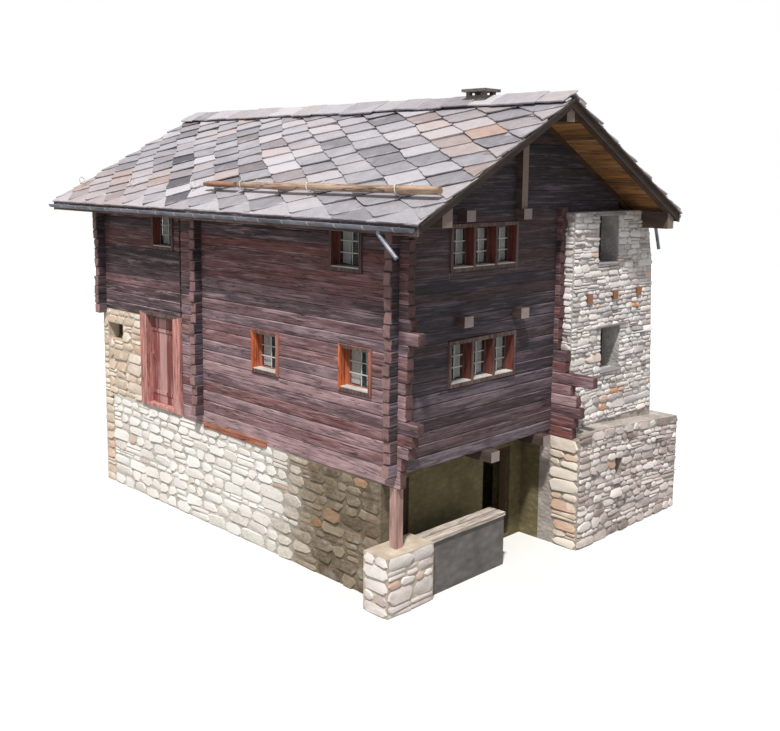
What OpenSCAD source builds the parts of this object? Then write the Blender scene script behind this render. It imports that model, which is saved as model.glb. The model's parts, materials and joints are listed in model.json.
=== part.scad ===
// Alpine chalet: a squared-log house with a stone wing under one stone-covered roof.
// Positions are measured from the outer near corner of the log walls: x along the gable,
// y along the long wall, z up from the underside of the gable sill.

/* [Log walls] */
// Width of the log part, measured across the gable
log_w = 4200; // [3500:20:5100]
// Length of the long walls, front gable to back gable
house_l = 9000; // [8600:50:10800]
// Thickness of the log walls
log_t = 150; // [120:5:180]
// Height of one course of logs
log_h = 200; // [180:5:240]
// Courses in the long walls, below the eaves plate
side_courses = 20; // [19:1:22]
// Depth of the groove between two courses, on each face
groove = 9; // [4:1:16]
// Mean length of the log ends that pass the corners
log_end = 200; // [150:10:300]
// Extra depth of the sill log under the long wall
sill_drop = 100; // [0:10:100]
// Distance from the front gable to the cross wall
cross_y = 5225; // [4200:25:5600]

/* [Roof] */
// Pitch of the roof
roof_pitch = 28; // [24:1:34]
// Overhang in front of the log gable
front_over = 940; // [600:20:1300]
// Overhang behind the log gable
back_over = 1020; // [700:20:1300]
// Overhang past the long log wall
side_over = 580; // [400:20:700]
// Overhang past the far long wall
wing_over = 140; // [80:20:300]
// Depth of the rafters
rafter_h = 110; // [80:5:160]
// Width of the rafters
rafter_w = 100; // [70:5:140]
// Rafters on each slope
rafter_count = 13; // [8:1:16]
// Thickness of the boards on the rafters
board_t = 30; // [20:2:40]
// Thickness of the stone covering at its lower edges
cover_t = 90; // [60:5:120]
// Courses of stone on each slope
stone_courses = 8; // [6:1:12]
// Width of the purlins and plates
purlin_w = 220; // [160:10:280]
// Diameter of the snow poles
pole_d = 90; // [60:5:120]
// Radius of the half-round gutters
gutter_r = 70; // [50:5:90]

/* [Stone wing] */
// Width from the log part to the outer face of the far long wall, at the top
wing_w = 2480; // [2000:20:3000]
// Thickness of the rubble walls
rubble_t = 500; // [400:10:600]
// How far the stone gables stand in front of the log gables
wing_out = 280; // [100:10:320]
// Outward lean of the far long wall over its height
batter = 450; // [250:10:500]
// Width of the slit windows
slit_w = 660; // [400:10:800]

/* [Base] */
// Height of the gable sill over the lowest ground
base_drop = 2150; // [1900:50:2600]
// Thickness of the cellar walls
cellar_t = 350; // [300:10:500]
// Set-back of the cellar front wall behind the log gable
cellar_in = 650; // [500:25:1200]
// Depth of the ledge in front of the stone gable
ledge = 370; // [250:10:600]
// Width of the base past the far long wall
shoulder = 920; // [600:20:1200]
// Side of the square corner post
post_w = 150; // [120:10:220]
// Height of the low wall and the pier over the lowest ground
parapet_h = 970; // [700:10:1100]

/* [Windows] */
// Width of a single window, over its frame
win_w = 760; // [600:10:900]
// Height of a window, over its frame
win_h = 770; // [620:10:790]
// Width of a triple window, over its frame
triple_w = 1740; // [1500:20:2100]
// Sill height of the lower windows
low_sill = 1160; // [900:20:1300]
// Sill height of the upper windows
high_sill = 3110; // [3000:10:3120]
// Thickness of the frame boards
frame_t = 60; // [35:5:70]
// Distance from the frame's face back to the sash
sash_in = 165; // [100:5:170]

/* [Entrance] */
// Distance along the long wall to the entrance
door_y = 5960; // [5800:10:6100]
// Width of the entrance over its posts
door_w = 1460; // [1300:10:1500]
// Height of the entrance over threshold and head
door_h = 1950; // [1850:10:2000]
// Width of each door post
post_face = 240; // [150:10:320]
// Thickness of the door leaf
leaf_t = 45; // [35:1:60]
// Clearance round the leaf
leaf_gap = 8; // [6:1:10]

/* [Hidden] */

wing_x = log_w + wing_w;
// Plan width of one roof slope, ridge to eaves
roof_half = (side_over + wing_x + wing_over) / 2;
slope = tan(roof_pitch);
square_up = 1 / cos(roof_pitch);
layers = (rafter_h + board_t + cover_t) * square_up;
side_z0 = -log_h / 2;
side_top = side_z0 + side_courses * log_h;
stone_top = side_courses * log_h;
plate_h = 200;
ridge_x = roof_half - side_over;
ridge_under = side_top + plate_h + ridge_x * slope;
ridge_top = ridge_under + layers;
roof_l = front_over + house_l + back_over;
roof_end = house_l + back_over;
wing_plate_z = ridge_under - (wing_x - ridge_x) * slope - plate_h;
base_right = wing_x + shoulder;
left_reach = side_over + 2 * gutter_r;
// The origin is under the middle of the whole building
x_off = (left_reach - base_right) / 2;
y_off = -(roof_end - front_over) / 2;

// Windows: distance along the wall, sill height, width
side_wins = [[575, low_sill, win_w], [2905, low_sill - 50, win_w],
    [805, high_sill, win_w], [6170, high_sill, win_w]];
gable_wins = [[1140, low_sill + 60, triple_w], [1140, high_sill, triple_w]];
// Wing windows: distance from the corner, sill height, height
wing_wins = [[980, 970, 850], [800, 3050, 880]];
wing_side_wins = [[2400, 1000, 800], [5900, 1000, 800], [2400, 2760, 760], [5900, 2760, 760]];
cellar_win = [house_l - 800, 1040, 580, 360];

beam_w = 220;
beam_h = 180;
beam_xs = [1310, 2800];
sill_beam_xs = [2080, 3560];
wing_beam_w = 160;
wing_beam_xs = [log_w + 420, log_w + 1290, log_w + 2140];
deck_t = 40;
upper_z = 2400;
wing_upper_z = 2500;
attic_under = side_z0 + (side_courses + 1) * log_h;
entry_z = -140;
slab_t = 160;
back_t = 200;
door_z = entry_z;
door_top = door_z + door_h;

// Repeatable unevenness between 0 and 1
function uneven(i, k) = ((i * 37 + k * 53 + i * i * 7) % 19) / 18;

module placed() { translate([x_off, y_off, base_drop]) children(); }

// A sheet drawn in x and z, standing from y to y + t
module upright(y, t) { translate([0, y + t, 0]) rotate([90, 0, 0]) linear_extrude(t) children(); }

// A sheet drawn in y and z, standing from x to x + t
module sideways(x, t) { translate([x, 0, 0]) rotate([90, 0, 90]) linear_extrude(t) children(); }

// Everything above the underside of the rafters
module roof_room() {
    far = 3 * roof_half;
    upright(-house_l, 3 * house_l)
        polygon([[ridge_x, ridge_under], [ridge_x + far, ridge_under - far * slope],
            [ridge_x + far, ridge_under + far], [ridge_x - far, ridge_under + far],
            [ridge_x - far, ridge_under - far * slope]]);
}

// Side view of stacked logs: uneven ends, half-height necks at the crossings, cut-outs.
// The lowest log reaches down by foot below z0
module log_stack(z0, courses, from, to, tails_a, tails_b, crossings, holes, foot) {
    difference() {
        for (i = [0:courses - 1])
            translate([from - tails_a[i], z0 + i * log_h - (i == 0 ? foot : 0)])
                square([to + tails_b[i] - from + tails_a[i], log_h + (i == 0 ? foot : 0)]);
        for (c = crossings, i = [0:courses])
            translate([c, z0 + (i - 0.25) * log_h]) square([log_t, log_h / 2]);
        for (h = holes) translate([h[0], h[1]]) square([h[2], h[3]]);
    }
}

// End view of stacked logs: flat faces with a groove at each joint
module log_section(z0, courses, foot) {
    joints = [for (i = [1:1:courses - 1]) z0 + i * log_h];
    outer = [for (z = joints) each [[0, z - groove], [groove, z], [0, z + groove]]];
    inner = [for (i = [len(joints) - 1:-1:0]) each [[log_t, joints[i] + groove],
        [log_t - groove, joints[i]], [log_t, joints[i] - groove]]];
    top = z0 + courses * log_h;
    polygon(concat([[0, z0 - foot]], outer, [[0, top], [log_t, top]], inner,
        [[log_t, z0 - foot]]));
}

module logs_along_x(y, z0, courses, from, to, tails_a, tails_b, crossings, holes) {
    reach = 6 * log_end;
    intersection() {
        upright(y, log_t)
            log_stack(z0, courses, from, to, tails_a, tails_b, crossings, holes, 0);
        translate([from - reach, y, 0]) rotate([90, 0, 90])
            linear_extrude(to - from + 2 * reach) log_section(z0, courses, 0);
    }
}

module logs_along_y(x, z0, courses, from, to, tails_a, tails_b, crossings, holes, foot = 0) {
    reach = 6 * log_end;
    intersection() {
        sideways(x, log_t)
            log_stack(z0, courses, from, to, tails_a, tails_b, crossings, holes, foot);
        translate([x, to + reach, 0]) rotate([90, 0, 0])
            linear_extrude(to - from + 2 * reach) log_section(z0, courses, foot);
    }
}

function flush(n) = [for (i = [0:n - 1]) 0];
function ends(n, k) = [for (i = [0:n - 1]) round(log_end - 25 + 50 * uneven(i, k))];
function win_holes(wins) = [for (w = wins) [w[0], w[1], w[2], win_h]];

// Both gables above the eaves, over the logs and the wing, cut to the roof
gable_rows = ceil(ridge_under / log_h) - side_courses;
module gable_tops() placed() color("#4a3a38")
    for (y = [0, house_l - log_t]) difference() {
        logs_along_x(y, stone_top, gable_rows, 0, wing_x, flush(gable_rows), flush(gable_rows),
            [], []);
        translate([log_w - log_t, y - 1, stone_top - 1]) cube([log_t, log_t + 2, log_h / 4 + 1]);
        roof_room();
        gable_seats();
    }

// What passes through the gables: plates, ridge purlin and beams
module gable_seats() {
    plate_solids();
    ridge_beam();
    for (x = beam_xs) {
        beam(x, upper_z);
        beam(x, attic_under);
    }
}

module front_log_wall() placed() color("#4d3a36") difference() {
    logs_along_x(0, 0, side_courses, 0, log_w, ends(side_courses, 1), flush(side_courses),
        [0, log_w - log_t], win_holes(gable_wins));
    roof_room();
    gable_seats();
}

// The back gable stands on masonry, so its logs start at the height of the entrance head
back_first = floor(door_top / log_h) - 1;
back_rows = side_courses - back_first;
module back_log_wall() placed() color("#4d3a36") difference() {
    logs_along_x(house_l - log_t, back_first * log_h, back_rows, 0, log_w, ends(back_rows, 2),
        flush(back_rows), [0, log_w - log_t], win_holes([gable_wins[1]]));
    roof_room();
    gable_seats();
}

// Front ends of the long wall: short at the sill, and a few that reach out as brackets
long_ends = [[0, 90], [1, 110], [2, 260], [3, 330], [4, 440], [11, 440], [12, 260]];
side_ends = [for (i = [0:side_courses - 1]) let (f = [for (e = long_ends) if (e[0] == i) e[1]])
    len(f) > 0 ? f[0] : ends(side_courses, 3)[i]];
module side_log_wall() placed() color("#54403b") difference() {
    logs_along_y(0, side_z0, side_courses, 0, door_y, side_ends, flush(side_courses),
        [0, cross_y], win_holes([side_wins[0], side_wins[1], side_wins[2]]), sill_drop);
    roof_room();
}

far_first = floor((door_top - side_z0) / log_h);
far_rows = side_courses - far_first;
far_z0 = side_z0 + far_first * log_h;
module far_side_logs() placed() color("#54403b") difference() {
    logs_along_y(0, far_z0, far_rows, door_y, house_l, flush(far_rows), ends(far_rows, 4),
        [house_l - log_t], win_holes([side_wins[3]]));
    translate([-log_t, door_y - 1, far_z0 - 1])
        cube([3 * log_t, door_w + 1, door_top - far_z0 + 1]);
    roof_room();
}

// Ends of the inner wall: the low courses reach out as a stepped bracket
inner_rows = side_courses + 1;
bracket = [490, 520, 650, 560, 440, 900, 300, 310];
function inner_end(i) = i < len(bracket) ? bracket[i] : round(110 + 40 * uneven(i, 5));

// Doorways inside: distance along the wall, height of the head, clear width. A full-height
// post stands on each side, and short logs lie between the posts over the head
jamb_w = 140;
wing_door = [cross_y + 1500, 1740, 800];
cross_door = [2400, 1840, 800];
function door_holes(d, z0) = [
    [d[0] - jamb_w, z0 - 1, jamb_w, attic_under - z0 + log_h],
    [d[0] + d[2], z0 - 1, jamb_w, attic_under - z0 + log_h],
    [d[0] - 1, z0 - 1, d[2] + 2, d[1] - z0 + 1]];

module inner_log_wall() placed() color("#4d3a36") difference() {
    logs_along_y(log_w - log_t, side_z0, inner_rows, 0, house_l,
        [for (i = [0:inner_rows - 1]) inner_end(i)], flush(inner_rows),
        [0, cross_y, house_l - log_t], door_holes(wing_door, side_z0));
    translate([0, house_l - back_t, side_z0 - 1])
        cube([log_w + 1, back_t + 1, back_first * log_h - side_z0 + 1]);
    translate([0, house_l - cellar_t, side_z0 - 1])
        cube([log_w + 1, cellar_t + 1, entry_z - slab_t - side_z0 + 1]);
}

cross_rows = ceil(attic_under / log_h);
module cross_log_wall() placed() color("#4d3a36") difference() {
    logs_along_x(cross_y, 0, cross_rows, 0, log_w, ends(cross_rows, 6), flush(cross_rows),
        [0, log_w - log_t], door_holes(cross_door, 0));
    translate([-log_w, 0, attic_under]) cube([3 * log_w, house_l, log_h]);
    gable_seats();
    roof_room();
}

module inner_door_posts() placed() color("#6a4a3e")
    for (side = [0, 1]) {
        translate([log_w - log_t, wing_door[0] - jamb_w + side * (wing_door[2] + jamb_w), side_z0])
            cube([log_t, jamb_w, attic_under - side_z0]);
        translate([cross_door[0] - jamb_w + side * (cross_door[2] + jamb_w), cross_y, 0])
            cube([jamb_w, log_t, attic_under]);
    }

// Timbers that carry floors and roof
purlin_short = 90;
purlin_from = -front_over + purlin_short;
purlin_l = roof_l - 2 * purlin_short;
module plate_solids() {
    for (p = [[0, side_top], [wing_x - purlin_w, wing_plate_z]])
        translate([p[0], purlin_from, p[1]])
            cube([purlin_w, purlin_l, 2 * purlin_w + plate_h]);
}
module eaves_plates() placed() color("#5a463c") difference() {
    plate_solids();
    roof_room();
}

module ridge_beam() {
    translate([ridge_x - purlin_w / 2, purlin_from, ridge_under - purlin_w])
        cube([purlin_w, purlin_l, 2 * purlin_w]);
}
module ridge_purlin() placed() color("#5a463c") difference() {
    ridge_beam();
    roof_room();
}

beam_out = 200;
module beam(x, top) {
    translate([x, -beam_out, top - beam_h]) cube([beam_w, house_l + 2 * beam_out, beam_h]);
}
module sill_beams() {
    for (x = sill_beam_xs)
        translate([x, -beam_out, -beam_h]) cube([beam_w, cross_y + log_t + beam_out, beam_h]);
}
module floor_beams() placed() color("#6b5246") {
    sill_beams();
    for (x = beam_xs) {
        beam(x, upper_z);
        beam(x, attic_under);
    }
}

wing_beam_out = 60;
module wing_beam_solids() {
    for (x = wing_beam_xs)
        translate([x, -wing_out - wing_beam_out, wing_upper_z - wing_beam_w])
            cube([wing_beam_w, house_l + 2 * (wing_out + wing_beam_out), wing_beam_w]);
}
module wing_beams() placed() color("#9c6b4c") wing_beam_solids();

// Decks between the walls, and the stone floors
wing_in = rubble_t - wing_out;
module wing_deck(z)
    translate([log_w, wing_in, z]) cube([wing_w - rubble_t, house_l - 2 * wing_in, deck_t]);
module log_deck(y, to, z)
    translate([log_t, y, z]) cube([log_w - 2 * log_t, to - y, deck_t]);
module timber_floors() placed() color("#8a6f56") {
    log_deck(log_t, cross_y, 0);
    log_deck(log_t, cross_y, upper_z);
    log_deck(cross_y + log_t, house_l - log_t, upper_z);
    wing_deck(0);
    wing_deck(wing_upper_z);
    difference() {
        translate([log_t, log_t, attic_under])
            cube([wing_x - log_t, house_l - 2 * log_t, deck_t]);
        roof_room();
        plate_solids();
    }
}
module stone_floors() placed() color("#9a948a") {
    translate([cellar_t, cross_y + log_t, entry_z - slab_t])
        cube([log_w - log_t - cellar_t, house_l - cross_y - log_t - cellar_t, slab_t]);
    translate([cellar_t, cellar_in + cellar_front_t, -base_drop])
        cube([log_w - log_t - cellar_t, cross_y + log_t - cellar_t - cellar_in - cellar_front_t,
            jamb_t]);
}

// One layer of a slope, between two depths measured square to it
module slope_layer(side, low, high, from_ridge, to_eave) {
    a = low * square_up;
    b = high * square_up;
    polygon([[ridge_x + side * from_ridge, ridge_under + a - from_ridge * slope],
        [ridge_x + side * to_eave, ridge_under + a - to_eave * slope],
        [ridge_x + side * to_eave, ridge_under + b - to_eave * slope],
        [ridge_x + side * from_ridge, ridge_under + b - from_ridge * slope]]);
}

verge_in = 80;
module rafter_row(side) {
    first = -front_over + verge_in;
    step = (roof_l - 2 * verge_in - rafter_w) / (rafter_count - 1);
    for (i = [0:rafter_count - 1])
        upright(first + i * step, rafter_w) slope_layer(side, 0, rafter_h, 0, roof_half - 60);
}
module left_rafters() placed() color("#6d5747") rafter_row(-1);
module right_rafters() placed() color("#6d5747") rafter_row(1);

module board_layer(side) {
    upright(-front_over, roof_l)
        slope_layer(side, rafter_h, rafter_h + board_t, 0, roof_half - board_t);
}
module left_roof_boards() placed() color("#7a5d45") board_layer(-1);
module right_roof_boards() placed() color("#7a5d45") board_layer(1);

// Stone covering in lapped courses, each thicker at its lower edge
stone_run = roof_half / stone_courses;
board_top = ridge_under + (rafter_h + board_t) * square_up;
course_low = cover_t * square_up;
course_high = 0.55 * course_low;
module stone_slope(side) {
    upright(-front_over, roof_l)
        polygon(concat([for (k = [0:stone_courses - 1]) each [
            [ridge_x + side * k * stone_run, board_top + course_high - k * stone_run * slope],
            [ridge_x + side * (k + 1) * stone_run,
                board_top + course_low - (k + 1) * stone_run * slope]]],
            [[ridge_x + side * roof_half, board_top - roof_half * slope], [ridge_x, board_top]]));
}
module left_stone_roof() placed() color("#8f8f90") stone_slope(-1);
module right_stone_roof() placed() color("#8f8f90") stone_slope(1);

// Height of the covering over a point at a distance from the ridge
function cover_z(run) = let (k = floor(run / stone_run), part = run / stone_run - k)
    board_top + course_high + (course_low - course_high) * part - run * slope;
lie = atan(slope - (course_low - course_high) / stone_run);

// Slabs that lap over the ridge from both slopes
ridge_lap = 260;
ridge_t = 40;
module ridge_solid() {
    upright(-front_over, roof_l)
        polygon([[ridge_x, cover_z(0)], [ridge_x + ridge_lap, cover_z(ridge_lap)],
            [ridge_x + ridge_lap, cover_z(ridge_lap) + ridge_t], [ridge_x, cover_z(0) + ridge_t],
            [ridge_x - ridge_lap, cover_z(ridge_lap) + ridge_t],
            [ridge_x - ridge_lap, cover_z(ridge_lap)]]);
}
module ridge_slabs() placed() color("#7f8082") ridge_solid();

// Clearance under what lies on a sloping face
seat = 0.3;
verge_t = 35;
module verge_boards() placed() color("#4a3c36")
    for (y = [-front_over + verge_in - verge_t, roof_end - verge_in], s = [-1, 1])
        upright(y, verge_t) slope_layer(s, 0, rafter_h - seat, 1, roof_half);

eave_z = ridge_under - roof_half * slope;
gutter_z = eave_z + rafter_h * square_up;
spout_r = 32;
zinc_t = 4;
// Half-round gutters, each with a short open spout: its place along y, its fall along y and z
spouts = [[-1, -200, -370, -440], [1, -330, -120, -690]];
module gutters() placed() color("#a9b0b5")
    for (s = spouts)
        translate([ridge_x + s[0] * (roof_half + gutter_r), 0, gutter_z]) {
            difference() {
                translate([0, roof_end - verge_in, 0]) rotate([90, 0, 0])
                    linear_extrude(roof_l - 2 * verge_in)
                        difference() {
                            circle(r = gutter_r, $fn = 32);
                            circle(r = gutter_r - zinc_t, $fn = 32);
                            translate([-2 * gutter_r, 0])
                                square([4 * gutter_r, 2 * gutter_r]);
                        }
                spout(s, spout_r - zinc_t);
            }
            difference() {
                spout(s, spout_r);
                spout(s, spout_r - zinc_t);
                translate([0, roof_end, 0]) rotate([90, 0, 0])
                    cylinder(h = roof_l, r = gutter_r - zinc_t, $fn = 32);
                translate([-gutter_r, s[1] - gutter_r, 0])
                    cube([2 * gutter_r, 3 * gutter_r, gutter_r]);
            }
        }
module spout(s, r) {
    fall = sqrt(s[2] * s[2] + s[3] * s[3]);
    translate([0, s[1], -20]) rotate([atan2(s[2], -s[3]), 0, 0]) translate([0, 0, -fall])
        cylinder(h = fall, r = r, $fn = 24);
}

// Snow poles lie on the covering and in the hooks: start, length, distance from the ridge
pole_run = roof_half - 620;
module snow_poles() placed() color("#a58055")
    for (p = [[-830, 4780, 0], [4060, 980, 60]])
        translate([ridge_x - pole_run + p[2], p[0], cover_z(pole_run - p[2])])
            rotate([0, -lie, 0]) translate([0, 0, pole_d / 2 + 2 * seat])
                rotate([-90, 0, 0]) cylinder(h = p[1], d = pole_d);

// Each hook is a flat strap up the slope with a hoop round the pole's place
hook_ys = [20, 2040, 3850, 5400, 7600, 9700];
hook_w = 30;
hook_t = 8;
module snow_hooks() placed() color("#d9dcdc")
    for (y = hook_ys)
        translate([ridge_x - pole_run, y, cover_z(pole_run)]) rotate([0, -lie, 0])
            translate([0, hook_w, seat]) rotate([90, 0, 0]) linear_extrude(hook_w) hook_outline();
module hook_outline() {
    r = pole_d / 2 + seat;
    difference() {
        union() {
            translate([0, r]) circle(r = r + hook_t, $fn = 40);
            translate([0, 0]) square([r + hook_t + 130, hook_t]);
        }
        translate([0, r]) circle(r = r, $fn = 40);
        translate([-2 * r, -r]) square([4 * r + 400, r]);
        translate([-2 * r, -r]) square([2 * r, 2 * r]);
    }
}

chimney_w = 320;
chimney_l = 420;
chimney_y = 860;
chimney_h = 90;
smoke_h = 60;
cap_t = 50;
cap_out = 60;
// Low stack on the ridge, with a flat capstone on four short legs
module chimney() placed() color("#8c8880") {
    x = ridge_x - chimney_w / 2;
    leg = 80;
    difference() {
        translate([x, chimney_y, ridge_top - 200])
            cube([chimney_w, chimney_l, 200 + chimney_h]);
        ridge_solid();
        upright(0, house_l) polygon([[ridge_x, cover_z(0) + ridge_t],
            [ridge_x + ridge_lap, cover_z(ridge_lap) + ridge_t],
            [ridge_x + ridge_lap, cover_z(0) - 4 * ridge_lap],
            [ridge_x - ridge_lap, cover_z(0) - 4 * ridge_lap],
            [ridge_x - ridge_lap, cover_z(ridge_lap) + ridge_t]]);
        translate([x - 1, chimney_y + leg, ridge_top + chimney_h - smoke_h])
            cube([chimney_w + 2, chimney_l - 2 * leg, smoke_h + 1]);
        translate([x + leg, chimney_y - 1, ridge_top + chimney_h - smoke_h])
            cube([chimney_w - 2 * leg, chimney_l + 2, smoke_h + 1]);
    }
    translate([x - cap_out, chimney_y - cap_out, ridge_top + chimney_h])
        cube([chimney_w + 2 * cap_out, chimney_l + 2 * cap_out, cap_t]);
}

// Window frames. Each is drawn with its outer face on y = 0 and its depth along y
sash_w = 35;
sash_t = 35;
frame_out = 35;
frame_in = 25;
module frame(w, h, lights, depth, sash) {
    light = (w - frame_t * (lights + 1)) / lights;
    difference() {
        cube([w, depth, h]);
        for (i = [0:lights - 1]) translate([frame_t + i * (light + frame_t), 0, frame_t]) {
            translate([0, -1, 0]) cube([light, sash + 1, h - 2 * frame_t]);
            translate([0, sash + sash_t, 0]) cube([light, depth, h - 2 * frame_t]);
            translate([sash_w, -1, sash_w])
                cube([light - 2 * sash_w, depth + 2, h - 2 * frame_t - 2 * sash_w]);
        }
    }
}
module panes(w, h, lights, sash) {
    light = (w - frame_t * (lights + 1)) / lights;
    for (i = [0:lights - 1])
        translate([frame_t + i * (light + frame_t) + sash_w, sash + 14, frame_t + sash_w])
            cube([light - 2 * sash_w, 6, h - 2 * frame_t - 2 * sash_w]);
}

// Each wall's window places: children are drawn once at every window
module at_gable_windows() {
    for (w = gable_wins) translate([w[0], -frame_out, w[1]]) children();
    w = gable_wins[1];
    translate([w[0], house_l + frame_out, w[1]]) mirror([0, 1, 0]) children();
}
module at_side_windows()
    for (w = side_wins) translate([-frame_out, w[0] + w[2], w[1]]) rotate([0, 0, -90]) children();
module log_windows() placed() color("#7c4030") {
    depth = log_t + frame_out + frame_in;
    at_gable_windows() frame(triple_w, win_h, 3, depth, sash_in);
    at_side_windows() frame(win_w, win_h, 1, depth, sash_in);
}

wing_frame_t = 100;
wing_sash = 40;
wing_frame_y = wing_in - wing_frame_t - 20;
module wing_lights(glazed) {
    for (w = wing_wins) {
        translate([log_w + w[0], wing_frame_y, w[1]]) wing_light(w[2], glazed);
        translate([log_w + w[0], house_l - wing_frame_y, w[1]]) mirror([0, 1, 0])
            wing_light(w[2], glazed);
    }
    for (w = wing_side_wins)
        translate([wing_x - rubble_t + 20 + wing_frame_t, w[0], w[1]]) rotate([0, 0, 90])
            wing_light(w[2], glazed);
    translate([cellar_t - 20 - wing_frame_t, cellar_win[0] + cellar_win[2], cellar_win[1]])
        rotate([0, 0, -90]) {
            if (glazed) panes(cellar_win[2], cellar_win[3], 1, wing_sash);
            else frame(cellar_win[2], cellar_win[3], 1, wing_frame_t, wing_sash);
        }
}
module wing_light(h, glazed) {
    if (glazed) panes(slit_w, h, 1, wing_sash);
    else frame(slit_w, h, 1, wing_frame_t, wing_sash);
}
module wing_windows() placed() color("#5f5348") wing_lights(false);

module window_glass() placed() color("#9fb4bd") {
    at_gable_windows() panes(triple_w, win_h, 3, sash_in);
    at_side_windows() panes(win_w, win_h, 1, sash_in);
    wing_lights(true);
}

// Rubble masonry
side_wall_y = 350;
module cellar_side_wall() placed() color("#b9b3a6") difference() {
    translate([0, side_wall_y, -base_drop])
        cube([cellar_t, house_l - side_wall_y - cellar_t, base_drop + side_z0]);
    translate([-1, -1, side_z0 - sill_drop]) cube([log_t + 1, door_y + 1, sill_drop + 1]);
    translate([-1, door_y, door_z]) cube([cellar_t + 2, house_l, log_h]);
}

module side_stone_wall() placed() color("#c4bdae") difference() {
    translate([0, door_y + door_w, door_z])
        cube([cellar_t, house_l - door_y - door_w - back_t, far_z0 - door_z]);
    translate([-1, cellar_win[0], cellar_win[1]]) cube([cellar_t + 2, cellar_win[2], cellar_win[3]]);
}

// Back of the masonry: thick below the entrance floor, thinner above it
module back_base_wall() placed() color("#b9b3a6") {
    top = back_first * log_h;
    translate([0, house_l - cellar_t, -base_drop])
        cube([log_w, cellar_t, base_drop + entry_z - slab_t]);
    translate([0, house_l - back_t, entry_z - slab_t - 1])
        cube([log_w, back_t, top - entry_z + slab_t + 1]);
    translate([0, house_l - back_t, top - 1]) cube([log_t, back_t - log_t, far_z0 - top + 1]);
}

// Doorways of the cellar: distance from the side wall's inner face, clear width
cellar_doors = [[70, 480], [2620, 680]];
cellar_door_h = 1720;
cellar_front_t = 400;
jamb_t = 60;
module cellar_cross_walls() placed() color("#b3a78c") difference() {
    for (w = [[cellar_in, cellar_front_t], [cross_y + log_t - cellar_t, cellar_t]])
        translate([cellar_t, w[0], -base_drop]) cube([log_w - log_t - cellar_t, w[1], base_drop]);
    for (d = cellar_doors)
        translate([cellar_t + d[0] - jamb_t, cellar_in - 1, -base_drop + jamb_t])
            cube([d[1] + 2 * jamb_t, cellar_front_t + 2, cellar_door_h]);
    sill_beams();
}

module cellar_door_frames() placed() color("#3d322d")
    for (d = cellar_doors)
        translate([cellar_t + d[0] - jamb_t, cellar_in + 40, -base_drop + jamb_t]) difference() {
            cube([d[1] + 2 * jamb_t, 160, cellar_door_h]);
            translate([jamb_t, -1, -1]) cube([d[1], 162, cellar_door_h - jamb_t + 1]);
        }

module cellar_inner_wall() placed() color("#c2b9a4")
    translate([log_w - log_t, wing_in, -base_drop])
        cube([cellar_t, house_l - wing_in - cellar_t, base_drop + side_z0]);

// Base under the stone gable, with a sloping ledge before it and beside it
vent = [log_w + 1080, -1050, 220, 400];
ledge_fall = 230;
base_left = log_w - log_t;
module base_block() placed() color("#a8a296") difference() {
    union() {
        upright(-wing_out - ledge, rubble_t + ledge)
            polygon([[base_left, -base_drop], [base_right, -base_drop],
                [base_right, -ledge_fall], [log_w + 700, 0], [log_w, 0], [log_w, side_z0],
                [base_left, side_z0]]);
        translate([log_w, -wing_out, -base_drop]) cube([wing_w + batter, rubble_t, base_drop]);
    }
    translate([vent[0], -wing_out - ledge - 1, vent[1]])
        cube([vent[2], rubble_t + ledge + 2, vent[3]]);
}

// The wing's gables lean in towards the eave: plumb inside, bulged outside
knee_z = 3000;
knee_out = 240;
module wing_outline(inner_x, low)
    polygon([[inner_x, low], [wing_x + batter, low], [wing_x + knee_out, knee_z],
        [wing_x, stone_top], [inner_x, stone_top]]);

module wing_end_walls() placed() color("#c9c6bf") difference() {
    union() {
        upright(-wing_out, rubble_t) wing_outline(log_w, 0);
        upright(house_l - wing_in, rubble_t) wing_outline(log_w, -base_drop);
    }
    for (w = wing_wins, y = [-wing_out - 1, house_l - wing_in - 1])
        translate([log_w + w[0], y, w[1]]) cube([slit_w, rubble_t + 2, w[2]]);
    wing_seats();
}

module wing_side_wall() placed() color("#c9c6bf") difference() {
    upright(wing_in, house_l - 2 * wing_in) wing_outline(wing_x - rubble_t, -base_drop);
    for (w = wing_side_wins)
        translate([wing_x - rubble_t - 1, w[0], w[1]]) cube([rubble_t + batter + 2, slit_w, w[2]]);
    wing_seats();
}

module wing_seats() {
    roof_room();
    plate_solids();
    wing_beam_solids();
}

// Corner post on its pier, and the low wall with its planks
module corner_post() placed() color("#8a6250")
    translate([0, 0, parapet_h - base_drop])
        cube([post_w, post_w, base_drop - parapet_h + side_z0 - sill_drop]);
pier_x = -380;
pier_y = -200;
pier_w = 1040;
pier_gap = 10;
module post_pier() placed() color("#c7c0b0")
    translate([pier_x, pier_y, -base_drop])
        cube([pier_w, side_wall_y - pier_gap - pier_y, parapet_h]);
parapet_l = 1940;
plank_t = 60;
module parapet_wall() placed() color("#6f6d6a")
    translate([pier_x + pier_w, -100, -base_drop]) cube([parapet_l, 300, parapet_h - plank_t]);
module parapet_planks() placed() color("#a79d90")
    for (y = [-130, 60])
        translate([pier_x + pier_w, y, parapet_h - base_drop - plank_t])
            cube([parapet_l, 160, plank_t]);

binder_t = 130;
module gable_binder() placed() color("#54433c")
    translate([beam_xs[1] + 20, -binder_t, attic_under]) cube([160, binder_t, 1200]);

// Entrance: two wide posts, a head and a threshold, rebated round a boarded leaf
rail = 60;
rebate = 25;
frame_depth = log_t + 50;
door_out = 50;
leaf_x = 100;
leaf_y = door_y + post_face - rebate;
leaf_w = door_w - 2 * post_face + 2 * rebate;
leaf_z = door_z + rail + leaf_gap;
leaf_h = door_h - 2 * rail - 2 * leaf_gap + rebate;
pin_r = 8;
pin_fit = 0.3;
knuckle_r = 16;
hinge_x = leaf_x + leaf_t + knuckle_r;
hinge_y = leaf_y + 14;
hinge_zs = [leaf_z + 250, leaf_z + 1450];
knuckle_h = 60;
plate_t = 12;

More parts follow.
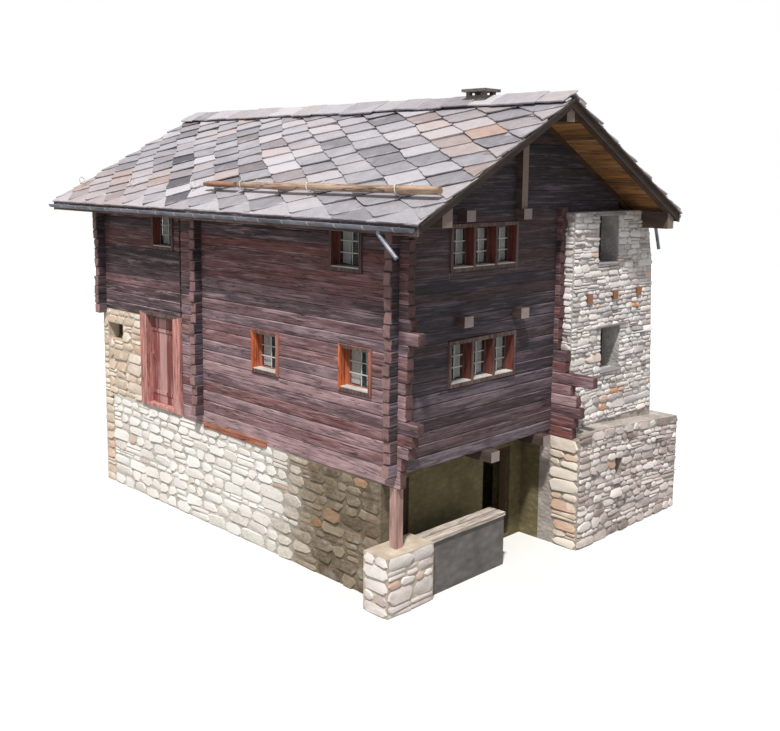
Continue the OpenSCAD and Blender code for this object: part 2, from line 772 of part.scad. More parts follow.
module door_frame() placed() color("#74483c") {
    difference() {
        translate([-door_out, door_y, door_z]) cube([frame_depth + door_out, door_w, door_h]);
        translate([-door_out - 1, door_y + post_face, door_z + rail])
            cube([frame_depth + door_out + 2, door_w - 2 * post_face, door_h - 2 * rail]);
        translate([leaf_x - leaf_gap, leaf_y - leaf_gap, door_z + rail])
            cube([frame_depth, leaf_w + 2 * leaf_gap, leaf_h + 2 * leaf_gap]);
    }
    // Hinge pins on plates let out from the near post
    for (z = hinge_zs) {
        translate([hinge_x - pin_r, leaf_y - leaf_gap - 1, z - plate_t])
            cube([2 * pin_r, hinge_y - leaf_y + leaf_gap + 1, plate_t]);
        translate([hinge_x, hinge_y, z - plate_t]) cylinder(h = plate_t, r = pin_r + 2);
        translate([hinge_x, hinge_y, z - plate_t]) cylinder(h = plate_t + knuckle_h, r = pin_r);
    }
}

module door_leaf() placed() color("#7d4a3c") difference() {
    union() {
        translate([leaf_x, leaf_y, leaf_z]) cube([leaf_t, leaf_w, leaf_h]);
        for (z = [180, 1480])
            translate([leaf_x - 18, leaf_y + 40, leaf_z + z]) cube([18, leaf_w - 80, 70]);
        // Strap hinges on the inner face
        for (z = hinge_zs) {
            translate([hinge_x, hinge_y, z + pin_fit]) cylinder(h = knuckle_h, r = knuckle_r);
            translate([leaf_x + leaf_t, hinge_y, z + pin_fit]) cube([6, 450, knuckle_h]);
            translate([leaf_x + leaf_t - 2, hinge_y - 12, z + pin_fit]) cube([12, 24, knuckle_h]);
        }
        // Latch handle near the free edge
        translate([leaf_x - 45, leaf_y + leaf_w - 110, leaf_z + 880]) cube([45, 16, 16]);
        translate([leaf_x - 45, leaf_y + leaf_w - 110, leaf_z + 980]) cube([45, 16, 16]);
        translate([leaf_x - 45, leaf_y + leaf_w - 110, leaf_z + 880]) cube([14, 16, 116]);
    }
    for (z = hinge_zs)
        translate([hinge_x, hinge_y, z - 1]) cylinder(h = knuckle_h + 3, r = pin_r + pin_fit);
}

cellar_side_wall();
side_stone_wall();
cellar_cross_walls();
cellar_inner_wall();
stone_floors();
back_base_wall();
base_block();
wing_end_walls();
wing_side_wall();
post_pier();
parapet_wall();
front_log_wall();
side_log_wall();
far_side_logs();
back_log_wall();
gable_tops();
inner_log_wall();
cross_log_wall();
inner_door_posts();
corner_post();
floor_beams();
wing_beams();
timber_floors();
ridge_purlin();
eaves_plates();
left_rafters();
right_rafters();
left_roof_boards();
right_roof_boards();
left_stone_roof();
right_stone_roof();
ridge_slabs();
verge_boards();
gutters();
snow_poles();
snow_hooks();
chimney();
log_windows();
wing_windows();
window_glass();
door_frame();
door_leaf();
gable_binder();
parapet_planks();
cellar_door_frames();
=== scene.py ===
# Alpine chalet: the looks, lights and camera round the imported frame
import json
import math
import random
from itertools import product

import bpy
from mathutils import Matrix, Vector, noise


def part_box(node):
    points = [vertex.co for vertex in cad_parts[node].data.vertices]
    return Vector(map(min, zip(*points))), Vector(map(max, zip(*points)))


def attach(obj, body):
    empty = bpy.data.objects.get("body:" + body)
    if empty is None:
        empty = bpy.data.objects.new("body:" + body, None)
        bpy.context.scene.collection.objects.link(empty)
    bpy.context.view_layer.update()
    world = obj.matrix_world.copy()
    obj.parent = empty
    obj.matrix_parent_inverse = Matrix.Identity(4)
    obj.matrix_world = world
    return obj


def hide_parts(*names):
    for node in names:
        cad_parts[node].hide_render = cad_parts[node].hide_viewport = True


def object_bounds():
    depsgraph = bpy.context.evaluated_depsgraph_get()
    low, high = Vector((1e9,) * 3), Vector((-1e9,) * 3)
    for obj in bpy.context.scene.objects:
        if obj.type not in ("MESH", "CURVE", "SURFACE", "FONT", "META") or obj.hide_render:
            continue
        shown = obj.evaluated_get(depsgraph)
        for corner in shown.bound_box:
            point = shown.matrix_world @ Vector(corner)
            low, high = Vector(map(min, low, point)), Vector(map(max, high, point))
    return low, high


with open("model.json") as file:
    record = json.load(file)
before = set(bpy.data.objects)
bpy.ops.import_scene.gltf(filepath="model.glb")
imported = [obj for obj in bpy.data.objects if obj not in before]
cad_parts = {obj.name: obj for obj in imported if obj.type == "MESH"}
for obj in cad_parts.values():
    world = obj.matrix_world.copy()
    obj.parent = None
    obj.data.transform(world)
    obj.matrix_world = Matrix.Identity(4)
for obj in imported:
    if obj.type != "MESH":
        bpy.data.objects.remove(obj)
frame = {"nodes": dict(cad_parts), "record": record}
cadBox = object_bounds()
nodes = frame["nodes"]
print("frame loaded,", len(nodes), "nodes")

# The near corner of the log walls, at the underside of the gable's sill; places count from it
corner = Vector((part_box("side_log_wall")[0].x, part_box("gable_tops")[0].y,
                 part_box("front_log_wall")[0].z))
ground = cadBox[0].z
ridgeX = (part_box("ridge_purlin")[0].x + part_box("ridge_purlin")[1].x) / 2
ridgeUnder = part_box("ridge_purlin")[1].z
boardLow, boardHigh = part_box("left_roof_boards")
boardTop = boardHigh.z
boardDepth = 0.034  # thickness of the roof boards, measured upright
roofFront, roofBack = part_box("left_stone_roof")[0].y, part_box("left_stone_roof")[1].y
eaveLeft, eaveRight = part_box("left_stone_roof")[0].x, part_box("right_stone_roof")[1].x
pitch = math.atan2(boardTop - boardLow.z - boardDepth, ridgeX - boardLow.x)
slopeLength = (ridgeX - eaveLeft) / math.cos(pitch)


# Small helpers

def solidsOf(nodeName):
    # the points of each separate solid of a node
    mesh = nodes[nodeName].data
    keyOf, places, parent = {}, [], []

    def root(a):
        while parent[a] != a:
            parent[a] = parent[parent[a]]
            a = parent[a]
        return a

    index = []
    for vertex in mesh.vertices:
        key = tuple(round(c, 4) for c in vertex.co)
        if key not in keyOf:
            keyOf[key] = len(places)
            places.append(vertex.co.copy())
            parent.append(len(parent))
        index.append(keyOf[key])
    for polygon in mesh.polygons:
        first = root(index[polygon.vertices[0]])
        for v in polygon.vertices[1:]:
            parent[root(index[v])] = first
    groups = {}
    for i, place in enumerate(places):
        groups.setdefault(root(i), []).append(place)
    solids = []
    for points in groups.values():
        low = Vector(min(p[a] for p in points) for a in range(3))
        high = Vector(max(p[a] for p in points) for a in range(3))
        solids.append({"points": points, "low": low, "high": high})
    return sorted(solids, key=lambda s: (round(s["low"].x, 3), round(s["low"].y, 3), s["low"].z))


def newBatch():
    return {"points": [], "faces": [], "shades": []}


def addFaces(batch, points, faces, shade):
    # shade: tone from dark to light, which on the logs also carries painted shade, warmth from grey
    # to orange, and a mark for ends or soot
    start = len(batch["points"])
    batch["points"].extend(points)
    batch["faces"].extend([tuple(start + i for i in face) for face in faces])
    if isinstance(shade, list):
        batch["shades"].extend(shade)
    else:
        batch["shades"].extend([shade] * len(points))


creases = {"wall_logs": 32, "roof_stone": 30, "rafter_wood": 30, "rubble": 28, "frame_wood": 30,
           "zinc": 40, "pole_wood": 50}  # degrees, by slot


def placeObject(name, data):
    holder = bpy.data.objects.new(name, data)
    bpy.context.scene.collection.objects.link(holder)
    return holder


def makePiece(batch, name, finish, slot, replaced=(), sharp=None):
    mesh = bpy.data.meshes.new(name)
    mesh.from_pydata(batch["points"], [], batch["faces"])
    mesh.update()
    shades = mesh.attributes.new("shade", "FLOAT_COLOR", "POINT")
    shades.data.foreach_set("color", [c for s in batch["shades"] for c in (*s, 0.0)[:4]])
    mesh.materials.append(finishes[finish])
    mesh.shade_smooth()
    mesh.set_sharp_from_angle(angle=math.radians(sharp or creases[slot]))
    piece = placeObject(name, mesh)
    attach(piece, "house")
    if replaced:
        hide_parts(*replaced)
    return piece


def wave(*place):
    return noise.noise(Vector(place))


def softBox(batch, low, high, chamfer, shade, rng=None, wear=0.0):
    # a box with small flat chamfers, its corners moved a little where it is worn
    centre = (Vector(low) + Vector(high)) / 2
    half = (Vector(high) - Vector(low)) / 2
    c = min(chamfer, half.x * 0.45, half.y * 0.45, half.z * 0.45)
    points, where = [], {}
    for signs in product((-1, 1), repeat=3):
        move = Vector(rng.uniform(-wear, wear) for _ in range(3)) if rng else Vector((0, 0, 0))
        outer = centre + (Vector(s * h for s, h in zip(signs, half)) + move)
        for a in range(3):
            where[(*signs, a)] = len(points)
            points.append(outer - Vector(0 if b == a else signs[b] * c for b in range(3)))
    flats, edges, corners = [], [], []
    for a in range(3):
        b, d = (a + 1) % 3, (a + 2) % 3

        def pointAt(sa, sb, sd, which):
            signs = [0, 0, 0]
            signs[a], signs[b], signs[d] = sa, sb, sd
            return where[(*signs, which)]
        for s in (-1, 1):
            ring = [pointAt(s, *q, a) for q in ((-1, -1), (1, -1), (1, 1), (-1, 1))]
            flats.append(ring if s > 0 else ring[::-1])
        for sb, sd in product((-1, 1), repeat=2):
            quad = [pointAt(-1, sb, sd, b), pointAt(-1, sb, sd, d), pointAt(1, sb, sd, d),
                    pointAt(1, sb, sd, b)]
            edges.append(quad if sb * sd < 0 else quad[::-1])
    for signs in product((-1, 1), repeat=3):
        tri = [where[(*signs, a)] for a in range(3)]
        corners.append(tri if math.prod(signs) > 0 else tri[::-1])
    addFaces(batch, points, flats + edges + corners, shade)


def ringFaces(sides, rings):
    # joins each ring of points to the next one
    return [(r * sides + k, r * sides + (k + 1) % sides, (r + 1) * sides + (k + 1) % sides,
             (r + 1) * sides + k) for r in range(rings) for k in range(sides)]


def sweepTube(batch, path, radii, sides, shade, closed=False):
    # a round bar along a path; radii gives one radius for each point of it
    count = len(path)
    points = []
    for k, place in enumerate(path):
        before = path[k - 1] if k or closed else place
        after = path[(k + 1) % count] if k < count - 1 or closed else place
        heading = (after - before).normalized()
        across = heading.cross(Vector((0.3, 0.2, 1)) if abs(heading.z) < 0.9
                               else Vector((1, 0, 0))).normalized()
        up = across.cross(heading)
        for q in range(sides):
            turn = 2 * math.pi * q / sides
            points.append(place + radii[k] * (across * math.cos(turn) + up * math.sin(turn)))
    faces = []
    for k, q in product(range(count if closed else count - 1), range(sides)):
        after, side = (k + 1) % count * sides, (q + 1) % sides
        faces.append((k * sides + q, after + q, after + side, k * sides + side))
    if not closed:
        faces.append(tuple(range(sides)))
        faces.append(tuple((count - 1) * sides + q for q in reversed(range(sides))))
    addFaces(batch, points, faces, shade)


# Materials

def newFinish(name, roughness):
    material = bpy.data.materials.new(name)
    material.use_nodes = True
    tree = material.node_tree
    shader = tree.nodes["Principled BSDF"]
    shader.inputs["Roughness"].default_value = roughness
    return {"material": material, "tree": tree, "shader": shader}


def addNode(finish, kind, **settings):
    made = finish["tree"].nodes.new(kind)
    for key, value in settings.items():
        setattr(made, key, value)
    return made


def join(finish, source, target):
    if isinstance(source, (int, float)):
        target.default_value = source
    elif isinstance(source, tuple):
        target.default_value = (*source, 1.0)[:4]
    else:
        finish["tree"].links.new(source, target)


def placeOf(finish, stretch=(1, 1, 1)):
    coordinates = addNode(finish, "ShaderNodeTexCoord")
    mapping = addNode(finish, "ShaderNodeMapping")
    mapping.inputs["Scale"].default_value = stretch
    join(finish, coordinates.outputs["Object"], mapping.inputs["Vector"])
    return mapping.outputs["Vector"]


def grain(finish, scale, stretch=(1, 1, 1), detail=4.0, rough=0.55, swirl=0.0):
    texture = addNode(finish, "ShaderNodeTexNoise")
    texture.inputs["Scale"].default_value = scale
    texture.inputs["Detail"].default_value = detail
    texture.inputs["Roughness"].default_value = rough
    texture.inputs["Distortion"].default_value = swirl
    join(finish, placeOf(finish, stretch), texture.inputs["Vector"])
    return texture.outputs["Fac"]


def cells(finish, scale, stretch=(1, 1, 1)):
    texture = addNode(finish, "ShaderNodeTexVoronoi")
    texture.inputs["Scale"].default_value = scale
    join(finish, placeOf(finish, stretch), texture.inputs["Vector"])
    return texture.outputs["Distance"]


def ramp(finish, value, *stops):
    made = addNode(finish, "ShaderNodeValToRGB")
    elements = made.color_ramp.elements
    while len(elements) < len(stops):
        elements.new(0.5)
    for element, (place, colour) in zip(elements, stops):
        element.position = place
        element.color = (colour, colour, colour, 1) if isinstance(colour, float) else (*colour, 1)
    join(finish, value, made.inputs["Fac"])
    return made.outputs["Color"]


def mix(finish, amount, a, b, how="MIX"):
    made = addNode(finish, "ShaderNodeMix", data_type="RGBA", blend_type=how)
    join(finish, amount, made.inputs["Factor"])
    join(finish, a, made.inputs[6])
    join(finish, b, made.inputs[7])
    return made.outputs[2]


def calc(finish, how, a, b=0.0, clamp=False):
    made = addNode(finish, "ShaderNodeMath", operation=how, use_clamp=clamp)
    join(finish, a, made.inputs[0])
    join(finish, b, made.inputs[1])
    return made.outputs[0]


def times(finish, a, b):
    return calc(finish, "MULTIPLY", a, b)


def weighed(finish, a, partA, b, partB):
    return calc(finish, "ADD", times(finish, a, partA), times(finish, b, partB))


def tinted(finish, amount, colour, pattern, *stops):
    # darkens and lightens a colour after a pattern
    return mix(finish, amount, colour, ramp(finish, pattern, *stops), "MULTIPLY")


def shadeOf(finish):
    # tone, warmth, mark and worn edge of the piece's own points
    attribute = addNode(finish, "ShaderNodeAttribute", attribute_name="shade")
    parts = addNode(finish, "ShaderNodeSeparateColor")
    join(finish, attribute.outputs["Color"], parts.inputs["Color"])
    return (parts.outputs["Red"], parts.outputs["Green"], parts.outputs["Blue"],
            attribute.outputs["Alpha"])


def alongHouse(finish):
    # the place along the long wall, in y
    parts = addNode(finish, "ShaderNodeSeparateXYZ")
    join(finish, placeOf(finish), parts.inputs["Vector"])
    return parts.outputs["Y"]


def facing(finish, axis):
    # how squarely a face looks along an axis, from 0 to 1
    geometry = addNode(finish, "ShaderNodeNewGeometry")
    parts = addNode(finish, "ShaderNodeSeparateXYZ")
    join(finish, geometry.outputs["Normal"], parts.inputs["Vector"])
    return calc(finish, "ABSOLUTE", parts.outputs[axis])


def lengthwise(finish, axis, scale, along, across, detail, rough=0.6, swirl=0.0):
    # grain drawn out along one axis
    stretch = [across] * 3
    stretch["xyz".index(axis)] = along
    return grain(finish, scale, stretch, detail, rough, swirl)


def complete(finish, colour, relief=None, depth=0.0, strength=0.0):
    join(finish, colour, finish["shader"].inputs["Base Color"])
    if relief:
        bump = addNode(finish, "ShaderNodeBump")
        bump.inputs["Strength"].default_value = strength
        bump.inputs["Distance"].default_value = depth
        join(finish, relief, bump.inputs["Height"])
        join(finish, bump.outputs["Normal"], finish["shader"].inputs["Normal"])
    return finish["material"]


def tints(codes):
    # the colours of #rrggbb codes, as they look on screen
    shares = [[int(code[i:i + 2], 16) / 255 for i in (1, 3, 5)] for code in codes.split()]
    return [tuple(c / 12.92 if c <= 0.04045 else ((c + 0.055) / 1.055) ** 2.4 for c in share)
            for share in shares]


# scale, stretch along and across the grain, detail, roughness, swirl
weathering = ((1.3, 0.5, 2.6, 3.0), (1.0, 1.1, 38.0, 6.0), (1.0, 1.0, 17.0, 5.0, 0.68, 0.4),
              (1.0, 0.6, 15.0, 3.0, 0.5, 0.5), (1.0, 2.4, 13.0, 5.0, 0.7, 0.3),
              (1.0, 0.7, 3.4, 4.0, 0.6, 0.3))


def weatheredWood(name, axis, silver, shaded, dark, middle, light, warm, ends):
    # old timber: broad stains, fine grain, long checks and pale worn streaks
    finish = newFinish(name, 0.82)
    stains, lines, streaks, checks, blotches, patches = (
        lengthwise(finish, axis, *row) for row in weathering)
    tone, heat, mark, worn = shadeOf(finish) if shaded else (0.5, 0.3, 0.0, 0.0)
    level = weighed(finish, stains, 0.55, tone, 0.55)
    colour = ramp(finish, level, (0.22, dark), (0.52, middle), (0.85, light))
    colour = mix(finish, times(finish, heat, 0.8), colour, warm)
    fine = ramp(finish, lines, (0.3, 0.55), (0.5, 0.98), (0.72, 1.4))
    colour = mix(finish, 0.85, colour, fine, "MULTIPLY")
    colour = tinted(finish, 0.7, colour, blotches, (0.36, 0.52), (0.5, 1.0), (0.64, 1.45))
    pale = ramp(finish, streaks, (0.53, 0.0), (0.65, 1.0))
    colour = mix(finish, times(finish, pale, silver), colour, light)
    reddish = ramp(finish, patches, (0.52, 0.0), (0.68, 0.55))
    colour = mix(finish, times(finish, reddish, heat), colour, warm)
    broken = times(finish, ramp(finish, streaks, (0.42, 0.1), (0.56, 0.9)),
                   ramp(finish, patches, (0.4, 0.85), (0.56, 0.12)))
    colour = mix(finish, times(finish, worn, broken), colour, light)
    crack = ramp(finish, checks, (0.46, 1.0), (0.48, 0.12), (0.492, 0.12), (0.512, 1.0))
    colour = mix(finish, 0.75, colour, crack, "MULTIPLY")
    endColour = tinted(finish, 1.0, mix(finish, 0.6, ends, fine, "MULTIPLY"), level,
                       (0.2, 0.62), (0.8, 1.12))
    colour = mix(finish, mark, colour, endColour)
    relief = calc(finish, "ADD", times(finish, lines, 0.4), crack)
    return complete(finish, colour, relief, 0.006, 0.55)


def plainTimber(name, axis, roughness, dark, light, ends):
    # carried-over timbers: grain along one axis, end grain where a face looks along it
    finish = newFinish(name, roughness)
    stains = lengthwise(finish, axis, 1.6, 0.6, 3.0, 3.0)
    lines = lengthwise(finish, axis, 1.0, 2.4, 52.0, 6.0)
    rings = grain(finish, 34.0, (1, 1, 1), 3.0, 0.6, 1.5)
    colour = ramp(finish, stains, (0.3, dark), (0.72, light))
    colour = tinted(finish, 0.8, colour, lines, (0.3, 0.55), (0.7, 1.3))
    square = ramp(finish, facing(finish, axis.upper()), (0.86, 0.0), (0.93, 1.0))
    colour = mix(finish, square, colour,
                 tinted(finish, 0.55, ends, rings, (0.35, 0.55), (0.65, 1.2)))
    return complete(finish, colour, lines, 0.004, 0.5)


def fieldStone(name, limed, dark, grey, light, warm):
    # rubble: each stone has its own tone, with veins, lichen specks and lime on its face
    finish = newFinish(name, 0.9)
    tone, heat = shadeOf(finish)[:2]
    veins = grain(finish, 9.0, (1, 1, 2.6), 6.0, 0.65, 0.6)
    blots = grain(finish, 3.1, (1, 1, 1), 4.0, 0.6)
    specks = grain(finish, 60.0, (1, 1, 1), 3.0, 0.7)
    colour = ramp(finish, weighed(finish, tone, 0.72, veins, 0.45), (0.18, dark), (0.5, grey),
                  (0.88, light))
    colour = mix(finish, times(finish, heat, 0.75), colour,
                 tinted(finish, 0.5, warm, veins, (0.3, 0.6), (0.7, 1.2)))
    lime = ramp(finish, blots, (0.52, 0.0), (0.66, 1.0))
    colour = mix(finish, times(finish, lime, limed), colour, light)
    colour = tinted(finish, 0.5, colour, specks, (0.3, 0.72), (0.6, 1.1))
    relief = calc(finish, "ADD", veins, times(finish, specks, 0.35))
    return complete(finish, colour, relief, 0.012, 0.6)


whitewash = {"from": 1.8, "over": 1.6}  # where it begins past the corner, and how slowly


def mortar(name, coarse, dark, light, *limed):
    # rough mortar and small packing stones between and behind the stones
    finish = newFinish(name, 0.95)
    lumps = cells(finish, coarse, (1, 1, 1.8))
    blots = grain(finish, 2.2, (1, 1, 1), 4.0, 0.6)
    grit = grain(finish, 70.0, (1, 1, 1), 4.0, 0.7)
    level = weighed(finish, blots, 0.6, grit, 0.4)
    colour = ramp(finish, level, (0.32, dark), (0.64, light))
    colour = tinted(finish, 0.5, colour, lumps, (0.1, 1.05), (0.6, 0.6))
    if limed:
        share = calc(finish, "SUBTRACT", alongHouse(finish), corner.y + whitewash["from"])
        white = ramp(finish, level, (0.32, limed[0]), (0.64, limed[1]))
        colour = mix(finish, calc(finish, "DIVIDE", share, whitewash["over"], True), colour, white)
    return complete(finish, colour, calc(finish, "SUBTRACT", grit, lumps), 0.02, 0.7)


def slabStone(name, dark, grey, light, warm, chip):
    # split roof slabs: cleft layers, rust, pale lichen and chipped rims
    finish = newFinish(name, 0.78)
    tone, heat, mark, worn = shadeOf(finish)
    cleft = grain(finish, 4.5, (1, 1, 1), 6.0, 0.62, 0.8)
    broad = grain(finish, 1.7, (1, 1, 1), 3.0, 0.55)
    specks = grain(finish, 38.0, (1, 1, 1), 4.0, 0.72)
    colour = ramp(finish, weighed(finish, tone, 0.8, cleft, 0.38), (0.15, dark), (0.5, grey),
                  (0.92, light))
    colour = mix(finish, times(finish, heat, 0.8), colour,
                 tinted(finish, 0.45, warm, cleft, (0.3, 0.65), (0.7, 1.25)))
    lichen = ramp(finish, broad, (0.55, 0.0), (0.72, 0.5))
    colour = mix(finish, times(finish, lichen, calc(finish, "SUBTRACT", 1.0, mark)), colour, light)
    colour = mix(finish, times(finish, worn, 0.85), colour, chip)
    colour = tinted(finish, 0.6, colour, specks, (0.3, 0.7), (0.62, 1.1))
    relief = calc(finish, "ADD", cleft, times(finish, specks, 0.25))
    return complete(finish, colour, relief, 0.012, 0.5)


def zincSheet(name, roughness, metallic, dark, light):
    finish = newFinish(name, roughness)
    finish["shader"].inputs["Metallic"].default_value = metallic
    stains = grain(finish, 3.0, (1, 0.6, 2.5), 4.0, 0.6)
    spots = grain(finish, 30.0, (1, 1, 1), 3.0, 0.6)
    colour = ramp(finish, stains, (0.35, dark), (0.7, light))
    colour = tinted(finish, 0.35, colour, spots, (0.3, 0.7), (0.6, 1.1))
    return complete(finish, colour, spots, 0.002, 0.3)


def boardedLeaf(name, *colours):
    # four upright boards, each weathered in its own way, and the pale tone of their worn streaks
    finish = newFinish(name, 0.75)
    low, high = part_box("door_leaf")
    across = calc(finish, "DIVIDE", calc(finish, "SUBTRACT", alongHouse(finish), low.y),
                  high.y - low.y)
    board = ramp(finish, across, *zip((0.0, 0.25, 0.47, 0.72), colours))
    board.node.color_ramp.interpolation = "CONSTANT"
    lines = lengthwise(finish, "z", 1.0, 1.2, 60.0, 5.0)
    worn = lengthwise(finish, "z", 1.0, 1.2, 10.0, 4.0)
    colour = mix(finish, ramp(finish, worn, (0.5, 0.0), (0.68, 0.85)), board, colours[4])
    colour = tinted(finish, 0.8, colour, lines, (0.3, 0.6), (0.7, 1.2))
    return complete(finish, colour, lines, 0.004, 0.5)


def windowGlass(name, clean, dusty):
    finish = newFinish(name, 0.06)
    for socket, value in (("Alpha", 0.18), ("IOR", 1.5), ("Specular IOR Level", 0.6)):
        finish["shader"].inputs[socket].default_value = value
    dirt = grain(finish, 5.0, (1, 1, 1), 3.0, 0.6)
    return complete(finish, ramp(finish, dirt, (0.4, clean), (0.7, dusty)))


def curtainCloth(name, soiled, clean):
    finish = newFinish(name, 0.9)
    finish["shader"].inputs["Sheen Weight"].default_value = 0.2
    weave = cells(finish, 900.0)
    soil = grain(finish, 6.0, (1, 1, 0.4), 3.0, 0.6)
    return complete(finish, ramp(finish, soil, (0.35, soiled), (0.65, clean)), weave, 0.0006, 0.4)


# Every finish by its kind: its settings in the order of the function, then its colours
finishTable = {
    weatheredWood: {
        "longWallWood": ("y", 0.48, True, "#261e1e #68555d #c6aab0 #8a5450 #684c4a"),
        "gableWood": ("x", 0.38, True, "#262128 #3a313a #948691 #5c403e #a68280"),
        "roofBoardWood": ("y", 0.15, True, "#543a24 #8a623c #ba8c5c #a8703c #423630"),
        "footWood": ("y", 0.4, True, "#5c3428 #9c624e #cc9c84 #a4583a #784c3a"),
        "poleWood": ("y", 0.4, True, "#725c4c #aa8e78 #d6c0aa #925640 #a08470"),
        "fasciaWood": ("y", 0.3, True, "#463836 #7a6462 #a4908e #78584e #60504a"),
        "sideFrameWood": ("z", 0.25, False, "#623830 #a46c60 #cea092 #aa6046 #965a42"),
        "orangeReveal": ("z", 0.15, False, "#8c3e22 #ce683c #e89a6c #d66836 #be643c"),
        "redReveal": ("z", 0.12, False, "#3e201e #703a32 #986054 #7e3c2c #784232"),
        "gableFrameWood": ("z", 0.35, False, "#322928 #604e4c #988680 #62423a #6e544c"),
        "doorPostWood": ("z", 0.3, False, "#8c5c58 #ce928e #ecc6be #c47660 #aa786e"),
        "plankWood": ("x", 0.5, False, "#968e88 #c8beb6 #eee8e2 #bea68e #beb2a6")},
    plainTimber: {
        "rafterTimber": ("x", 0.8, "#32261e #604834 #78604a"),
        "beamTimber": ("y", 0.8, "#3c302e #6e5852 #a0918e"),
        "purlinTimber": ("y", 0.8, "#3e322e #705a50 #8e7c74"),
        "wingBeamTimber": ("y", 0.8, "#60402e #966a50 #a07054"),
        "floorWood": ("y", 0.6, "#685038 #967a5c #967a5c"),
        "postWood": ("z", 0.8, "#906e67 #e0bab2 #b4968c"),
        "darkBrown": ("x", 0.8, "#28201d #4e3e37 #584a42")},
    fieldStone: {
        "wingStone": (0.62, "#625f62 #bab5b7 #f8f5f4 #d69662"),
        "baseStone": (0.42, "#625a58 #b4a8a5 #f4edea #cca086"),
        "plasterStone": (0.7, "#968470 #d8c4ae #f8f0e4 #deac8a"),
        "cellarStone": (0.15, "#544836 #a49682 #fcfaf6 #ba8c6a")},
    mortar: {
        "wingMortar": (14.0, "#a09c9a #eeeae6"),
        "plaster": (5.0, "#ccb8a0 #f4e6d4"),
        "limedMortar": (7.0, "#685c4a #9e907a #bab2a6 #f0ece4"),
        "cellarPlaster": (6.0, "#665c3e #948863"),
        "greyPlaster": (4.0, "#605c5a #8e8986"),
        "baseMortar": (9.0, "#988d86 #e0d6ce"),
        "darkMortar": (14.0, "#605a56 #968e88")},
    slabStone: {"roofSlab": ("#545259 #9a969d #ccc8ce #b6988a #e2dee0",)},
    zincSheet: {
        "zincGrey": (0.45, 0.3, "#686c78 #a0a4b2"),
        "whiteMetal": (0.4, 0.1, "#ced0d0 #f0f0ee"),
        "paleBars": (0.6, 0.0, "#bebab4 #e8e6e0"),
        "bracketZinc": (0.4, 0.3, "#b0b4ba #d6dae0")},
    boardedLeaf: {"doorLeafWood": ("#be8a86 #864844 #ca9c98 #965450 #deb6b2",)},
    windowGlass: {"windowGlass": ("#465460 #606c74",)},
    curtainCloth: {"curtainCloth": ("#d6d4d0 #f2f1ee",)},
}
finishes = {}
for makeFinish, rows in finishTable.items():
    for name, (*settings, colours) in rows.items():
        finishes[name] = makeFinish(name, *settings, *tints(colours))
print("materials made")


# Log walls: every course is its own squared log, worn at its edges and ends

# the logs' paler foot is partly painted sunlight, and the height where the painted eave shadow on
# the logs begins is set here too
logs = {"height": 0.2, "joint": 0.011, "jointHeight": 0.013, "bulge": 0.004, "step": 0.28,
        "wander": 0.007, "shift": 0.014, "band": 0.018, "rough": 0.01, "waver": 0.003,
        "axedEnd": 0.035, "cutEnd": 0.006, "endSize": (0.8, 0.92), "endReach": 0.034,
        "shortest": 0.02, "paleFoot": 0.24, "topFrom": 2.6, "underPeak": 0.03}


def jointLine(wall, level, index, u):
    # the line between two courses: not quite level, and not quite straight
    return (level + logs["shift"] * wave(index * 3.7, wall * 9.1, 4.2)
            + logs["wander"] * wave(u * 0.55, index * 2.3, wall * 5.7)
            + 0.35 * logs["wander"] * wave(u * 2.6, index * 4.1, wall * 3.3))


